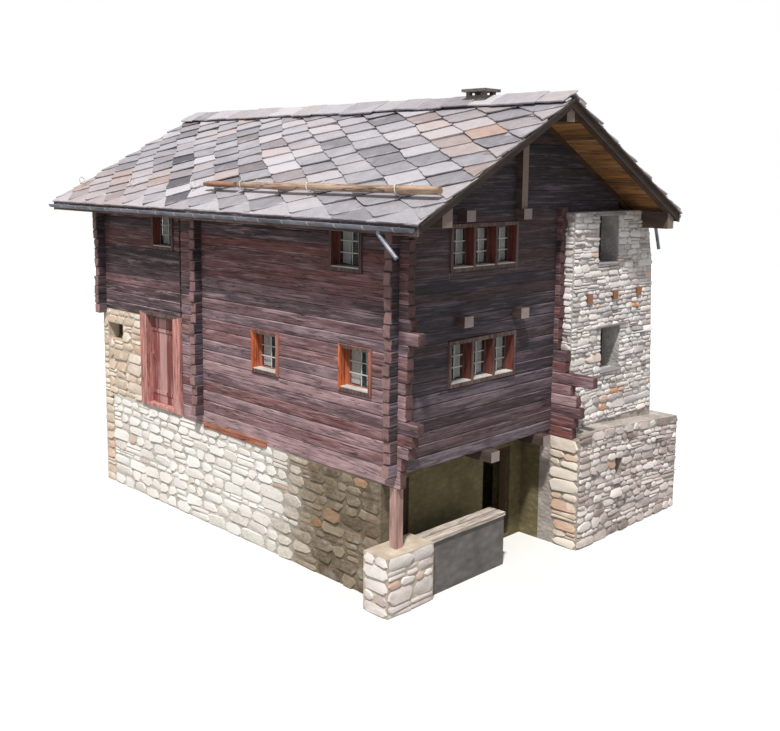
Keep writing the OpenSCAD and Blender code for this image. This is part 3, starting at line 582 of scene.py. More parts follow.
def layLog(batch, axis, startAt, endAt, lowAt, highAt, front, back, seed, shade, blunt):
    # sweeps a twelve-sided section along the log; startAt and endAt may slope with the height
    mid = (startAt(lowAt(0)) + endAt(lowAt(0))) / 2
    middleZ = (lowAt(mid) + highAt(mid)) / 2
    length = endAt(middleZ) - startAt(middleZ)
    if length < logs["shortest"]:
        return
    count = max(2, math.ceil(length / logs["step"]) + 1)
    stations = [k / (count - 1) for k in range(count)]
    first, last = (min(logs["axedEnd" if axed else "cutEnd"], length * 0.2) / length
                   for axed in blunt)
    inner = [s for s in stations if first < s < 1 - last]
    stations = [0.0, first, *inner, 1 - last, 1.0]
    joint, rise, band = logs["joint"], logs["jointHeight"], logs["band"]
    thick = back - front
    rng = random.Random(round(seed * 7 + startAt(middleZ) * 1000))
    points, shades = [], []
    for k, s in enumerate(stations):
        end = k in (0, len(stations) - 1)
        side = 0 if k < len(stations) / 2 else 1
        shrink = rng.uniform(*logs["endSize"]) if end and blunt[side] else 1.0
        rough = logs["rough"] if blunt[side] and (s < 0.5 * first or s > 1 - 0.5 * last) else 0.0
        u = startAt(middleZ) + s * length
        low, high = lowAt(u), highAt(u)
        centre = (low + high) / 2
        bow = logs["bulge"] * (1 + wave(u * 1.7, seed * 1.3, 0.5))
        lip = min(rise, (high - low) * 0.3)
        edge = min(band, (high - low) * 0.2)
        # each point: across, height, a tone offset of painted shade (darker in the joint grooves,
        # with a slight painted highlight on the upper lip) and the worn edge
        section = [(joint, low, -0.5, 0), (0, low + lip, 0, 0.7),
                   (-bow * 0.6, low + lip + edge, 0, 0), (-bow, centre, 0, 0),
                   (-bow * 0.6, high - lip - edge, 0, 0), (0, high - lip, 0.1, 1.0),
                   (joint, high, -0.5, 0), (thick - joint, high, -0.4, 0),
                   (thick, high - lip, 0, 0.6), (thick + bow * 0.5, centre, 0, 0),
                   (thick, low + lip, 0, 0.4), (thick - joint, low, -0.4, 0)]
        for q, (a, z, paintedShading, worn) in enumerate(section):
            a += logs["waver"] * wave(u * 3.1, q * 2.2 + seed, 7.7) + rng.uniform(-rough, rough)
            a = thick / 2 + (a - thick / 2) * shrink
            z = centre + (z - centre) * shrink
            reach = startAt(z) + s * (endAt(z) - startAt(z))
            if end and blunt[side]:
                reach += (1 if side == 0 else -1) * rng.uniform(0, logs["endReach"])
            place = (reach, front + a, z) if axis == "x" else (front + a, reach, z)
            points.append(Vector(place))
            shades.append((shade[0] + paintedShading, shade[1], 1.0 if end else 0.0, 0.0 if end else worn))
    sides = len(section)
    faces = ringFaces(sides, len(stations) - 1)
    head = tuple(range(sides))
    tail = tuple((len(stations) - 1) * sides + q for q in range(sides))
    if axis == "y":
        faces, head, tail = [(b, a, d, c) for a, b, c, d in faces], head[::-1], tail[::-1]
    addFaces(batch, points, [*faces, head[::-1], tail], shades)


def spanOf(points, along, low, high):
    inside = [p[along] for p in points if low + 0.001 < p.z < high - 0.001]
    return (min(inside), max(inside)) if inside else None


def openingsIn(solid, boxes, along):
    across = 1 - along
    found = []
    for box in boxes:
        if (box["low"][across] < solid["high"][across] - 0.01
                and box["high"][across] > solid["low"][across] + 0.01
                and box["low"][along] < solid["high"][along]
                and box["high"][along] > solid["low"][along]):
            found.append((box["low"][along], box["high"][along], box["low"].z, box["high"].z))
    return found


def buildLogWall(nodeName, pieceName, side, wallSeed, boxes, tones):
    # tones: of the logs, how warm they get, and how fast they darken upwards, partly weathering and
    # partly painted shade, with a painted eave shadow near the top
    tones = {"fade": 0.13, "topFade": 0.2, **tones}
    batch = newBatch()
    rng = random.Random(wallSeed)
    peak = ridgeUnder - logs["underPeak"]

    def halfWidth(z):
        # of the gable under the boards, at a height
        return (ridgeUnder - min(z, peak)) / math.tan(pitch)

    for number, solid in enumerate(solidsOf(nodeName)):
        size = solid["high"] - solid["low"]
        along = 0 if size.x > size.y else 1
        across = 1 - along
        holes = openingsIn(solid, boxes, along)
        index, level = 0, side["from"]
        while level < solid["high"].z - 0.01:
            bottom, top = level, level + logs["height"]
            level = top
            index += 1
            if top < solid["low"].z + 0.01:
                continue
            span = spanOf(solid["points"], along, max(bottom, solid["low"].z),
                          min(top, solid["high"].z))
            if span is None:
                continue
            lowFixed = solid["low"].z if (bottom <= solid["low"].z + 0.001 or
                                          index == 1 and solid["low"].z < bottom) else None
            highFixed = solid["high"].z if top >= solid["high"].z - 0.001 else None

            def lowAt(u):
                return lowFixed if lowFixed is not None else jointLine(wallSeed, bottom, index, u)

            def highAt(u):
                if highFixed is not None:
                    return highFixed
                return jointLine(wallSeed, top, index + 1, u)

            # the higher a log, the darker: partly weathering and partly painted shade; the foot is
            # paler and warmer, partly painted sunlight, and above the eave's shadow line a painted
            # eave shadow darkens the logs more
            rise = bottom - corner.z
            tone = (rng.uniform(*tones["tone"]) + logs["paleFoot"] - tones["fade"] * rise
                    - tones["topFade"] * max(0, rise - logs["topFrom"]))
            warmth = rng.uniform(0, 1) ** 2 * tones["warm"] + max(0, 0.3 - 0.2 * rise)
            if "sill" in tones and index == 1:
                tone, warmth = tones["sill"]
            cutting = [h for h in holes if h[2] < top and h[3] > bottom]
            edges = sorted({span[0], span[1], *[e for h in cutting for e in h[:2]
                                                if span[0] < e < span[1]]})
            for a, b in zip(edges, edges[1:]):
                middle = (a + b) / 2
                bands = [(None, None)]  # what is left of the log under and over an opening
                for h in cutting:
                    if h[0] < middle < h[1]:
                        bands = []
                        if h[2] > bottom + 0.015:
                            bands.append((None, h[2]))
                        if h[3] < top - 0.015:
                            bands.append((h[3], None))
                for under, over in bands:
                    startAt, endAt, topAt = (lambda z: a), (lambda z: b), highAt
                    if "underRoof" in tones:
                        if bottom > peak - logs["shortest"]:
                            continue
                        startAt = (lambda z: max(a, ridgeX - halfWidth(z)))
                        endAt = (lambda z: min(b, ridgeX + halfWidth(z)))
                        topAt = (lambda u: min(highAt(u), peak))
                    layLog(batch, "xy"[along], startAt, endAt,
                           lowAt if under is None else (lambda u: under),
                           topAt if over is None else (lambda u: over),
                           solid["low"][across], solid["high"][across],
                           wallSeed * 100 + index + number * 31, (tone, warmth),
                           (a == span[0], b == span[1]))
    makePiece(batch, pieceName, side["finish"], "wall_logs", [nodeName])


windowBoxes = solidsOf("log_windows")
longSide = {"finish": "longWallWood", "from": corner.z - logs["height"] / 2}
gableSide = {"finish": "gableWood", "from": corner.z}
# tones of each wall: the darkening upwards is partly painted shade, and the darkening near the top
# is a painted eave shadow
logWalls = (
    ("side_log_wall", "longWallLogs", longSide,
     {"tone": (0.25, 0.7), "warm": 0.8, "sill": (0.9, 0.3)}),
    ("far_side_logs", "farWallLogs", longSide, {"tone": (0.1, 0.6), "warm": 0.6}),
    ("front_log_wall", "gableLogs", gableSide,
     {"tone": (0.04, 0.54), "warm": 0.5, "sill": (0.85, 0.25), "fade": 0.1, "topFade": 0.12}),
    ("back_log_wall", "backGableLogs", gableSide, {"tone": (0.15, 0.7), "warm": 0.5}),
    ("gable_tops", "gableTopLogs", gableSide,
     {"tone": (0.16, 0.66), "warm": 0.5, "fade": 0.09, "topFade": 0.1, "underRoof": True}),
    ("inner_log_wall", "innerWallLogs", longSide, {"tone": (0.15, 0.8), "warm": 0.9}),
    ("cross_log_wall", "crossWallLogs", gableSide, {"tone": (0.2, 0.7), "warm": 0.7}))
for seed, (nodeName, pieceName, side, tones) in enumerate(logWalls, 3):
    buildLogWall(nodeName, pieceName, side, seed, windowBoxes, tones)
print("log walls laid")


# Roof: slabs laid in diagonal rows, each on the two below it

slabs = {"along": 0.475, "alongFar": 0.375, "down": 0.32, "thick": 0.036, "tilt": 0.115,
         "rest": 0.05, "lap": 0.15, "farFrom": 5.0, "columns": 34, "verge": 0.003,
         "ridgeGap": 0.12, "eaveLift": 0.046, "bevel": 0.009, "chip": 0.009, "chipStep": 0.1,
         "smallest": (0.08, 0.06), "wander": (0.12, 0.07), "tone": (0.54, 0.22)}
# on the left slope: place along the house and down from the ridge, and how far each reaches
slabSpots = {"dark": (7.7, 2.3, 0.5), "rusty": (-0.1, 1.35, 0.3), "warmFrom": (6.5, 2.7)}
packing = {"thick": 0.02, "lift": (0.026, 0.034), "bevel": 0.005}
starting = {"thick": 0.026, "lift": (0.038, 0.042), "deep": 0.4, "bevel": 0.006}
bedding = {"thick": 0.013, "lift": 0.014, "back": 0.05, "bevel": 0.002}
ridge = {"thick": 0.034, "lap": 0.014, "lengths": (0.55, 1.05), "widths": {1: 0.34, -1: 0.38},
         "lifts": {1: 0.105, -1: 0.117}, "tops": {1: -0.06, -1: -0.11}}


def slopePoint(side, y, s, lift):
    return Vector((ridgeX + side * (s * math.cos(pitch) + lift * math.sin(pitch)), y,
                   boardTop - s * math.sin(pitch) + lift * math.cos(pitch)))


def clipPolygon(points, axis, limit, keepAbove):
    out = []
    for i, p in enumerate(points):
        q = points[(i + 1) % len(points)]
        inP = p[axis] >= limit if keepAbove else p[axis] <= limit
        inQ = q[axis] >= limit if keepAbove else q[axis] <= limit
        if inP:
            out.append(p)
        if inP != inQ:
            t = (limit - p[axis]) / (q[axis] - p[axis])
            out.append((p[0] + t * (q[0] - p[0]), p[1] + t * (q[1] - p[1])))
    return out


def withinVerges(outline):
    low, high = roofFront + slabs["verge"], roofBack - slabs["verge"]
    return [(min(max(y, low), high), s) for y, s in outline]


def chippedOutline(outline, rng, step, chip):
    points = []
    for i, p in enumerate(outline):
        q = outline[(i + 1) % len(outline)]
        length = math.hypot(q[0] - p[0], q[1] - p[1])
        n = max(1, round(length / step))
        for k in range(n):
            t = k / n
            jitter = chip if k else chip * 0.5
            points.append((p[0] + t * (q[0] - p[0]) + rng.uniform(-jitter, jitter),
                           p[1] + t * (q[1] - p[1]) + rng.uniform(-jitter, jitter)))
    return points


def laySlab(batch, side, outline, liftAt, thick, shade, rng, bevel):
    # a split slab: worn upper edge, rough lower edge set back a little
    n = len(outline)
    cx = sum(p[0] for p in outline) / n
    cy = sum(p[1] for p in outline) / n
    size = max(0.05, sum(math.hypot(p[0] - cx, p[1] - cy) for p in outline) / n)
    rings = []
    for inset, drop in ((0.012, 1.0), (0.0, 0.55), (0.0, 0.18), (bevel, 0.0)):
        scale = 1 - inset / size
        ring = []
        for p in outline:
            y, s = cx + (p[0] - cx) * scale, cy + (p[1] - cy) * scale
            lift = liftAt(y, s)
            slump = drop * thick * min(1, max(0.35, lift / 0.03))
            ring.append(slopePoint(side, y, s, lift - slump))
        rings.append(ring)
    points = [p for ring in rings for p in ring]
    chipped = [rng.uniform(0.2, 1.0) if r == 2 else 0.0 for r in range(4) for _ in range(n)]
    shade = [(*shade[:3], worn) for worn in chipped]
    faces = [tuple(range(n)), *[(b, a, d, c) for a, b, c, d in ringFaces(n, 3)],
             tuple(3 * n + k for k in reversed(range(n)))]
    if side > 0:
        faces = [face[::-1] for face in faces]
    addFaces(batch, points, faces, shade)


def slabRow(i):
    split = round(slabs["farFrom"] / slabs["along"])
    if i <= split:
        return corner.y + i * slabs["along"]
    return corner.y + split * slabs["along"] + (i - split) * slabs["alongFar"]


def latticeNode(i, j, side):
    along, down = slabs["wander"]
    return (slabRow(i) + along * wave(i * 1.7, j * 2.9, side * 3.0),
            j * slabs["down"] + down * wave(i * 2.3, j * 1.9, side * 5.0 + 9))


def slabShade(y, s, side, rng):
    tone = min(1, max(0, rng.gauss(*slabs["tone"])))
    warmth = 0.0
    chance = rng.random()
    if chance < 0.12:
        warmth = rng.uniform(0.25, 0.6)
    elif chance < 0.4:
        warmth = rng.uniform(0.05, 0.2)
    along = y - corner.y

    def near(spot):
        place, down, reach = slabSpots[spot]
        return side < 0 and abs(along - place) < reach and abs(s - down) < 0.2
    if near("dark"):
        return (-0.1, 0, 1.0)
    if near("rusty"):
        warmth = 1.1
    farEnough, lowEnough = slabSpots["warmFrom"]
    if side < 0 and along > farEnough and s > lowEnough:
        warmth += rng.uniform(0.1, 0.35)
    elif s > 3.4:
        warmth *= 0.5
    return (tone, warmth, rng.uniform(0, 0.4))


def buildSlope(side, name, nodeName):
    batch = newBatch()
    rng = random.Random(20 + side)
    rows = math.ceil(slopeLength / slabs["down"]) + 1
    for j, i in product(range(rows + 1), range(-4, slabs["columns"])):
        if (i + j) % 2:
            continue
        left, right = latticeNode(i - 1, j, side), latticeNode(i + 1, j, side)
        top, bottom = latticeNode(i, j - 1, side), latticeNode(i, j + 1, side)
        lap = slabs["lap"]
        blunt = rng.uniform(0.05, 0.12)
        outline = [
            (left[0] + (top[0] - left[0]) * 0.03 + 0.012, left[1] + 0.006),
            *[(bottom[0] + (end[0] - bottom[0]) * blunt, bottom[1] + (end[1] - bottom[1]) * blunt)
              for end in (left, right)],
            (right[0] - 0.012, right[1] + 0.006), (right[0] - 0.03, right[1] - lap),
            (top[0], top[1] - lap), (left[0] + 0.03, left[1] - lap)]
        edge = 0.02 * rng.random()
        overhang = slopeLength + rng.uniform(-0.005, 0.03)
        for axis, limit, keepAbove in ((0, roofFront + edge, True), (0, roofBack - edge, False),
                                       (1, slabs["ridgeGap"], True), (1, overhang, False)):
            outline = clipPolygon(outline, axis, limit, keepAbove)
        if len(outline) < 3:
            continue
        wide, deep = (max(p[a] for p in outline) - min(p[a] for p in outline) for a in (0, 1))
        if wide < slabs["smallest"][0] or deep < slabs["smallest"][1]:
            continue
        outline = withinVerges(chippedOutline(outline, rng, slabs["chipStep"], slabs["chip"]))
        centre = ((left[0] + right[0]) / 2, (left[1] + right[1]) / 2)
        rest = slabs["rest"] + rng.uniform(-0.006, 0.006)
        tilt = slabs["tilt"] + rng.uniform(-0.015, 0.015)
        roll = rng.uniform(-0.012, 0.012)

        def liftAt(y, s):
            lift = (rest + tilt * (s - centre[1]) + roll * (y - centre[0])
                    + 0.003 * wave(y * 4, s * 4, centre[0]))
            return max(lift, slabs["eaveLift"]) if s > slopeLength - 0.5 else lift

        laySlab(batch, side, outline, liftAt, slabs["thick"] * rng.uniform(0.8, 1.25),
                slabShade(*centre, side, rng), rng, slabs["bevel"])
    # packing pieces that show at the verges, under the slabs
    for edge, turn in ((roofFront, 1), (roofBack, -1)):
        s = 0.2
        while s < slopeLength - 0.3:
            depth = rng.uniform(0.3, 0.6)
            a, b = sorted((edge + turn * rng.uniform(0.01, 0.035),
                           edge + turn * rng.uniform(0.3, 0.5)))
            end = min(s + depth, slopeLength - 0.01)
            outline = chippedOutline([(a, s), (a, end), (b, end), (b, s)], rng, 0.12, 0.01)
            lift = rng.uniform(*packing["lift"])
            laySlab(batch, side, withinVerges(outline), lambda *place: lift, packing["thick"],
                    (rng.uniform(0.1, 0.6), rng.uniform(0, 0.3), 0.4), rng, packing["bevel"])
            s = end + rng.uniform(-0.05, 0.03)
    # the starting course at the eave, under the first row
    y = roofFront + 0.01
    while y < roofBack - 0.2:
        end = min(y + rng.uniform(0.45, 0.85), roofBack - 0.01)
        foot = slopeLength + rng.uniform(-0.005, 0.02)
        head = foot - starting["deep"]
        outline = chippedOutline([(y + 0.004, head), (y + 0.004, foot), (end - 0.004, foot),
                                  (end - 0.004, head)], rng, 0.09, 0.008)
        rise = rng.uniform(*starting["lift"])
        laySlab(batch, side, withinVerges(outline), lambda *place: rise, starting["thick"],
                (rng.uniform(0.2, 0.6), rng.uniform(0.1, 0.5), 0.4), rng, starting["bevel"])
        y = end
    # the thin bed of split stone under the slabs
    low, high, foot = roofFront + bedding["back"], roofBack - bedding["back"], slopeLength - 0.04
    laySlab(batch, side, [(low, 0.0), (low, foot), (high, foot), (high, 0.0)],
            lambda *place: bedding["lift"], bedding["thick"], (0.0, 0.1, 1.0), rng,
            bedding["bevel"])
    makePiece(batch, name, "roofSlab", "roof_stone", [nodeName])


buildSlope(-1, "leftSlabs", "left_stone_roof")
buildSlope(1, "rightSlabs", "right_stone_roof")


def buildRidge():
    batch = newBatch()
    rng = random.Random(77)
    for side in (1, -1):
        y = roofFront + 0.004
        lie = 0
        while y < roofBack - 0.15:
            end = min(y + rng.uniform(*ridge["lengths"]), roofBack - 0.004)
            width = ridge["widths"][side] + rng.uniform(-0.05, 0.06)
            top = ridge["tops"][side]
            outline = [(y, top), (y + rng.uniform(-0.02, 0.02), width),
                       (end + rng.uniform(-0.02, 0.02), width + rng.uniform(-0.04, 0.04)),
                       (end, top)]
            outline = withinVerges(chippedOutline(withinVerges(outline), rng, 0.12, slabs["chip"]))
            base = ridge["lifts"][side] + ridge["lap"] * (lie % 2)
            tilt = rng.uniform(-0.012, 0.012)
            middle = (y + end) / 2

            def liftAt(q, s):
                return (base + tilt * (q - middle) - 0.02 * (s < 0.1)
                        + 0.004 * wave(q * 3, s * 3, middle))

            laySlab(batch, side, outline, liftAt, ridge["thick"],
                    (min(1, max(0, rng.gauss(0.62, 0.16))), rng.uniform(0, 0.2), 0.2), rng,
                    slabs["bevel"])
            y = end - rng.uniform(0.03, 0.07)
            lie += 1
    makePiece(batch, "ridgeStones", "roofSlab", "roof_stone", ["ridge_slabs"])


buildRidge()
print("roof slabs laid")


boards = {"thick": 0.028, "gap": 0.003, "widths": (0.15, 0.24), "lengths": (2.6, 4.2),
          "darkEnd": 0.04, "shortest": 0.8}


def buildRoofBoards(side, name, nodeName):
    batch = newBatch()
    rng = random.Random(40 + side)
    low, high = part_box(nodeName)
    run = slopeLength - 0.03
    gap, darkEnd = boards["gap"], boards["darkEnd"]
    s = 0.0
    while s < run - 0.03:
        width = min(rng.uniform(*boards["widths"]), run - s)
        y = low.y
        while y < high.y - 0.01:
            # a short dark piece at either verge ends each run of boards
            end = min(y + (rng.uniform(*boards["lengths"]) if y > low.y else darkEnd),
                      high.y - darkEnd)
            if high.y - end < boards["shortest"] and y < high.y - 0.05:
                end = high.y - darkEnd
            if y > high.y - 0.05:
                end = high.y
            dark = 1.0 if end - y < 0.05 else 0.0
            shade = (rng.uniform(0.2, 0.9), rng.uniform(0, 1) ** 2, dark, 0.0)
            corners = [(y, s + gap), (end - gap * (1 - dark), s + gap),
                       (end - gap * (1 - dark), s + width - gap), (y, s + width - gap)]
            points = [slopePoint(side, p, q, lift) for lift in (-boards["thick"], -0.001)
                      for p, q in corners]
            faces = [(0, 1, 2, 3), (7, 6, 5, 4), (1, 0, 4, 5), (2, 1, 5, 6), (3, 2, 6, 7),
                     (0, 3, 7, 4)]
            if side > 0:
                faces = [f[::-1] for f in faces]
            addFaces(batch, points, [f[::-1] for f in faces], shade)
            y = end
        s += width
    makePiece(batch, name, "roofBoardWood", "rafter_wood", [nodeName])


buildRoofBoards(-1, "leftRoofBoards", "left_roof_boards")
buildRoofBoards(1, "rightRoofBoards", "right_roof_boards")
print("roof boards laid")


# Rubble: stones in flat courses, each proud of its mortar by a little

stones = {"bevel": 0.016, "crown": 0.012, "rough": 0.09, "clear": 0.001, "smallest": 0.02,
          "cornerCut": (0.22, 0.5), "leanAlong": (-0.06, 0.06), "leanUp": (-0.3, 0.06),
          "skew": (-0.018, 0.018), "splitAt": (0.35, 0.65), "tallToSplit": 0.1,
          "lastShare": 0.9}


def layStone(batch, corners, place, rng, proud, sink, joint, shade):
    # corners in wall coordinates, anticlockwise seen from outside
    centre = (sum(p[0] for p in corners) / 4, sum(p[1] for p in corners) / 4)
    wide = min(math.dist(corners[0], corners[1]), math.dist(corners[2], corners[3]))
    tall = min(math.dist(corners[1], corners[2]), math.dist(corners[3], corners[0]))
    small = min(wide, tall)
    if small < stones["smallest"]:
        return
    outline = []
    for i in range(4):
        p, before, after = corners[i], corners[i - 1], corners[(i + 1) % 4]
        for other in (before, after):
            length = max(0.001, math.dist(p, other))
            t = min(rng.uniform(*stones["cornerCut"]) * small, length * 0.42) / length
            outline.append([p[0] + t * (other[0] - p[0]), p[1] + t * (other[1] - p[1])])
    shrink = [1 - joint / max(wide, 0.05), 1 - joint / max(tall, 0.04)]
    rough = small * stones["rough"]
    for p in outline:
        p[0] = centre[0] + (p[0] - centre[0]) * shrink[0] + rng.uniform(-rough, rough)
        p[1] = centre[1] + (p[1] - centre[1]) * shrink[1] + rng.uniform(-rough, rough)
    bevel = min(stones["bevel"], small * 0.16)
    leanU, leanV = rng.uniform(*stones["leanAlong"]), rng.uniform(*stones["leanUp"])
    rings = ((0.0, -sink), (0.0, proud - bevel * 0.8), (bevel, proud))
    points = []
    for inset, depth in rings:
        for p in outline:
            su = max(0.2, 1 - inset * 2 / max(wide, 0.03))
            sv = max(0.2, 1 - inset * 2 / max(tall, 0.03))
            u, v = centre[0] + (p[0] - centre[0]) * su, centre[1] + (p[1] - centre[1]) * sv
            d = depth
            if depth > 0:
                d += leanU * (u - centre[0]) + leanV * (v - centre[1])
                d += rng.uniform(-0.002, 0.002)
                d = max(stones["clear"], d)
            spot = place(u, v, d)
            spot.z = max(spot.z, ground + stones["clear"])
            points.append(spot)
    n = len(outline)
    faces = [tuple(reversed(range(n))), *ringFaces(n, 2)]
    points.append(place(*centre, proud + min(stones["crown"], small * 0.08)))
    for spot in points:
        spot.x = min(spot.x, cadBox[1].x - stones["clear"])
    faces += [(2 * n + k, 2 * n + (k + 1) % n, 3 * n) for k in range(n)]
    addFaces(batch, points, faces, shade)


def courseLevels(low, high, fixed, heights, rng):
    # the lines between courses, with firm ones at the heads and sills of openings
    levels, marks = [low], []
    for v in sorted(fixed):
        if (marks[-1] if marks else low) + 0.04 < v < high - 0.04:
            marks.append(v)
    marks.append(high)
    for mark in marks:
        run = levels[-1]
        gap = mark - run
        count = max(1, round(gap / ((heights[0] + heights[1]) / 2)))
        parts = [rng.uniform(*heights) for _ in range(count)]
        total = sum(parts)
        for part in parts[:-1]:
            run += part / total * gap
            levels.append(run)
        levels.append(mark)
    return levels, set(round(v, 4) for v in marks + [low])


def cladWall(batch, place, low, high, spanAt, holes, style, seed, turned=False):
    # place(u, v, depth) gives a point of the wall; spanAt(v) its left and right ends
    rng = random.Random(seed)
    marks = [v for h in holes for v in h[2:]]
    levels, firm = courseLevels(low, high, marks, style["courses"], rng)

    def lineAt(k, u):
        v = levels[k]
        if round(v, 4) in firm:
            return v
        return v + style["waver"] * wave(u * 1.4, k * 2.7, seed * 1.9)

    for k in range(len(levels) - 1):
        middle = (levels[k] + levels[k + 1]) / 2
        left, right = spanAt(middle)
        blocks = sorted((max(left, h[0]), min(right, h[1])) for h in holes
                        if h[2] < middle < h[3])
        runs, cursor = [], left
        for a, b in blocks:
            runs.append((cursor, a))
            cursor = b
        runs.append((cursor, right))
        tall = levels[k + 1] - levels[k]
        for a, b in runs:
            u = a
            while u < b - 0.03:
                width = max(tall, 0.05) * rng.uniform(*style["widths"])
                end = u + width
                if b - end < tall * stones["lastShare"]:
                    end = b
                skewA, skewB = rng.uniform(*stones["skew"]), rng.uniform(*stones["skew"])
                leftEdge = u + (0 if u == a else skewA)
                rightEdge = end + (0 if end == b else skewB)
                split = rng.random() < style["split"] and tall > stones["tallToSplit"]
                cuts = [0, rng.uniform(*stones["splitAt"]), 1] if split else [0, 1]
                for c0, c1 in zip(cuts, cuts[1:]):
                    z0, z1 = lineAt(k, u), lineAt(k + 1, u)
                    y0, y1 = lineAt(k, end), lineAt(k + 1, end)
                    corners = [(leftEdge, z0 + c0 * (z1 - z0)), (rightEdge, y0 + c0 * (y1 - y0)),
                               (rightEdge, y0 + c1 * (y1 - y0)), (leftEdge, z0 + c1 * (z1 - z0))]
                    if turned:
                        corners = corners[::-1]
                    tone = rng.gauss(*style["tone"])
                    warm = rng.uniform(0, 0.2)
                    if rng.random() < style["warm"]:
                        warm = rng.uniform(0.4, 1.0)
                    if "liming" in style:
                        tone += style["liming"]((u + end) / 2)
                    for accentU, accentV in style.get("accents", ()):
                        if u < accentU < end and levels[k] < accentV < levels[k + 1]:
                            tone, warm = 0.6, 1.2
                    tone = min(1, max(0, tone))
                    layStone(batch, corners, place, rng, rng.uniform(*style["proud"]),
                             style["sink"], rng.uniform(*style["joint"]), (tone, warm, 0.0))
                u = end


def flatPlace(origin, across, out):
    # a wall's own directions: u across, v up, depth outwards
    def place(u, v, depth):
        return Vector((origin[0] + across[0] * u + out[0] * depth,
                       origin[1] + across[1] * u + out[1] * depth, v))
    return place


wingStyle = {"courses": (0.06, 0.15), "widths": (1.2, 3.4), "waver": 0.042, "split": 0.2,
             "tone": (0.7, 0.2), "warm": 0.02, "proud": (0.004, 0.038), "sink": 0.03,
             "joint": (0.006, 0.02)}
baseStyle = {"courses": (0.07, 0.2), "widths": (1.1, 3.0), "waver": 0.042, "split": 0.16,
             "tone": (0.6, 0.22), "warm": 0.04, "proud": (0.004, 0.034), "sink": 0.03,
             "joint": (0.006, 0.02)}
coarseStyle = {"courses": (0.12, 0.26), "widths": (1.3, 3.0), "waver": 0.025, "split": 0.15,
               "tone": (0.6, 0.2), "warm": 0.14, "proud": (0.006, 0.024), "sink": 0.03,
               "joint": (0.012, 0.03)}
pierStyle = dict(coarseStyle, tone=(0.85, 0.16), warm=0.06)
stoneFoot = ground + 0.002  # the stones start just above the floor

endWalls = solidsOf("wing_end_walls")
frontWall = min(endWalls, key=lambda s: s["low"].y)
backWall = max(endWalls, key=lambda s: s["low"].y)
wingHoles = [(s["low"], s["high"]) for s in solidsOf("wing_windows")]


def leaningEdge(points):
    # corners of a leaning wall's outer face, from its foot up
    best = {}
    for p in points:
        z = round(p.z, 3)
        best[z] = max(best.get(z, p.x), p.x)
    kept = []
    for z, x in sorted(best.items()):
        while len(kept) > 1:
            (z0, x0), (z1, x1) = kept[-2:]
            if (x1 - x0) * (z - z0) > (x - x0) * (z1 - z0):
                break
            kept.pop()
        kept.append((z, x))
    return kept


def outerX(edge, v):
    for (z0, x0), (z1, x1) in zip(edge, edge[1:]):
        if v <= z1:
            return x0 + (x1 - x0) * (v - z0) / (z1 - z0)
    return edge[-1][1]


rustyStones = [(5.75, 0.52), (5.45, 0.3), (6.3, 2.2)]  # in the stone gable, from the corner
nicheSlab = {"thick": 0.04, "proud": 0.055, "deep": 0.12, "bevel": 0.008, "gap": 0.003}


def stoneWing():
    batch = newBatch()
    frontY, backY = frontWall["low"].y, backWall["high"].y
    leftX, low = frontWall["low"].x, frontWall["low"].z
    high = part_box("gable_tops")[0].z
    accents = [(corner.x + u, corner.z + v) for u, v in rustyStones]
    rusty = dict(wingStyle, accents=accents)
    for wall, wallY, sign, style, seed in ((frontWall, frontY, -1, rusty, 101),
                                           (backWall, backY, 1, wingStyle, 102)):
        holes = [(a.x, b.x, a.z, b.z) for a, b in wingHoles if abs((a.y + b.y) / 2 - wallY) < 0.6]
        edge = leaningEdge(wall["points"])
        cladWall(batch, flatPlace((0, wallY), (1, 0), (0, sign)), wall["low"].z, high,
                 lambda v: (leftX + 0.01, outerX(edge, v) - 0.01), holes, style, seed, sign > 0)
    # the return of the front wall beside the logs, and of the back wall
    place = flatPlace((leftX, 0), (0, -1), (-1, 0))
    cladWall(batch, place, low, high, lambda v: (-corner.y + 0.001, -frontY - 0.006), [],
             wingStyle, 103)
    cladWall(batch, place, ground, high,
             lambda v: (-backY + 0.006, -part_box("back_base_wall")[1].y - 0.001), [],
             wingStyle, 104)
    # the long side leans, and the front wall's end stands a little proud of it
    holes = [(a.y, b.y, a.z, b.z) for a, b in wingHoles if b.x > corner.x + 6
             and b.y - a.y > 0.4 and a.y > corner.y + 1 and b.y < corner.y + 8.5]
    step = frontWall["high"].y
    for wall, y0, y1, bottom, seed in ((frontWall, frontY + 0.006, step, corner.z, 105),
                                       (backWall, step, backY - 0.006, backWall["low"].z, 106)):
        edge = leaningEdge(wall["points"])
        eaveHeight = ridgeUnder - (outerX(edge, high) - ridgeX) * math.tan(pitch) - 0.02
        cladWall(batch, lambda u, v, depth: Vector((outerX(edge, v) + depth, u, v)), bottom,
                 eaveHeight, lambda v: (y0, y1), holes, baseStyle, seed)
    makePiece(batch, "wingStones", "wingStone", "rubble")
    # flat slabs over and under the niches of the front
    batch = newBatch()
    rng = random.Random(140)
    for a, b in wingHoles:
        if a.y > corner.y + 1 or a.x < corner.x + 4.5:
            continue
        for z, left, right in ((b.z, a.x - 0.22, b.x + 0.16),
                               (a.z - nicheSlab["thick"], a.x - 0.03, b.x + 0.05)):
            top = min(z + nicheSlab["thick"], high - nicheSlab["gap"])
            softBox(batch, (left, frontY - nicheSlab["proud"], z),
                    (right, frontY + nicheSlab["deep"], top), nicheSlab["bevel"],
                    (0.35, 0.1, 0.6), rng, nicheSlab["bevel"])
    makePiece(batch, "nicheSlabs", "roofSlab", "rubble")


stoneWing()


ledge = {"fallFrom": 4.9, "fall": 0.23}  # the base's top slopes down past this x


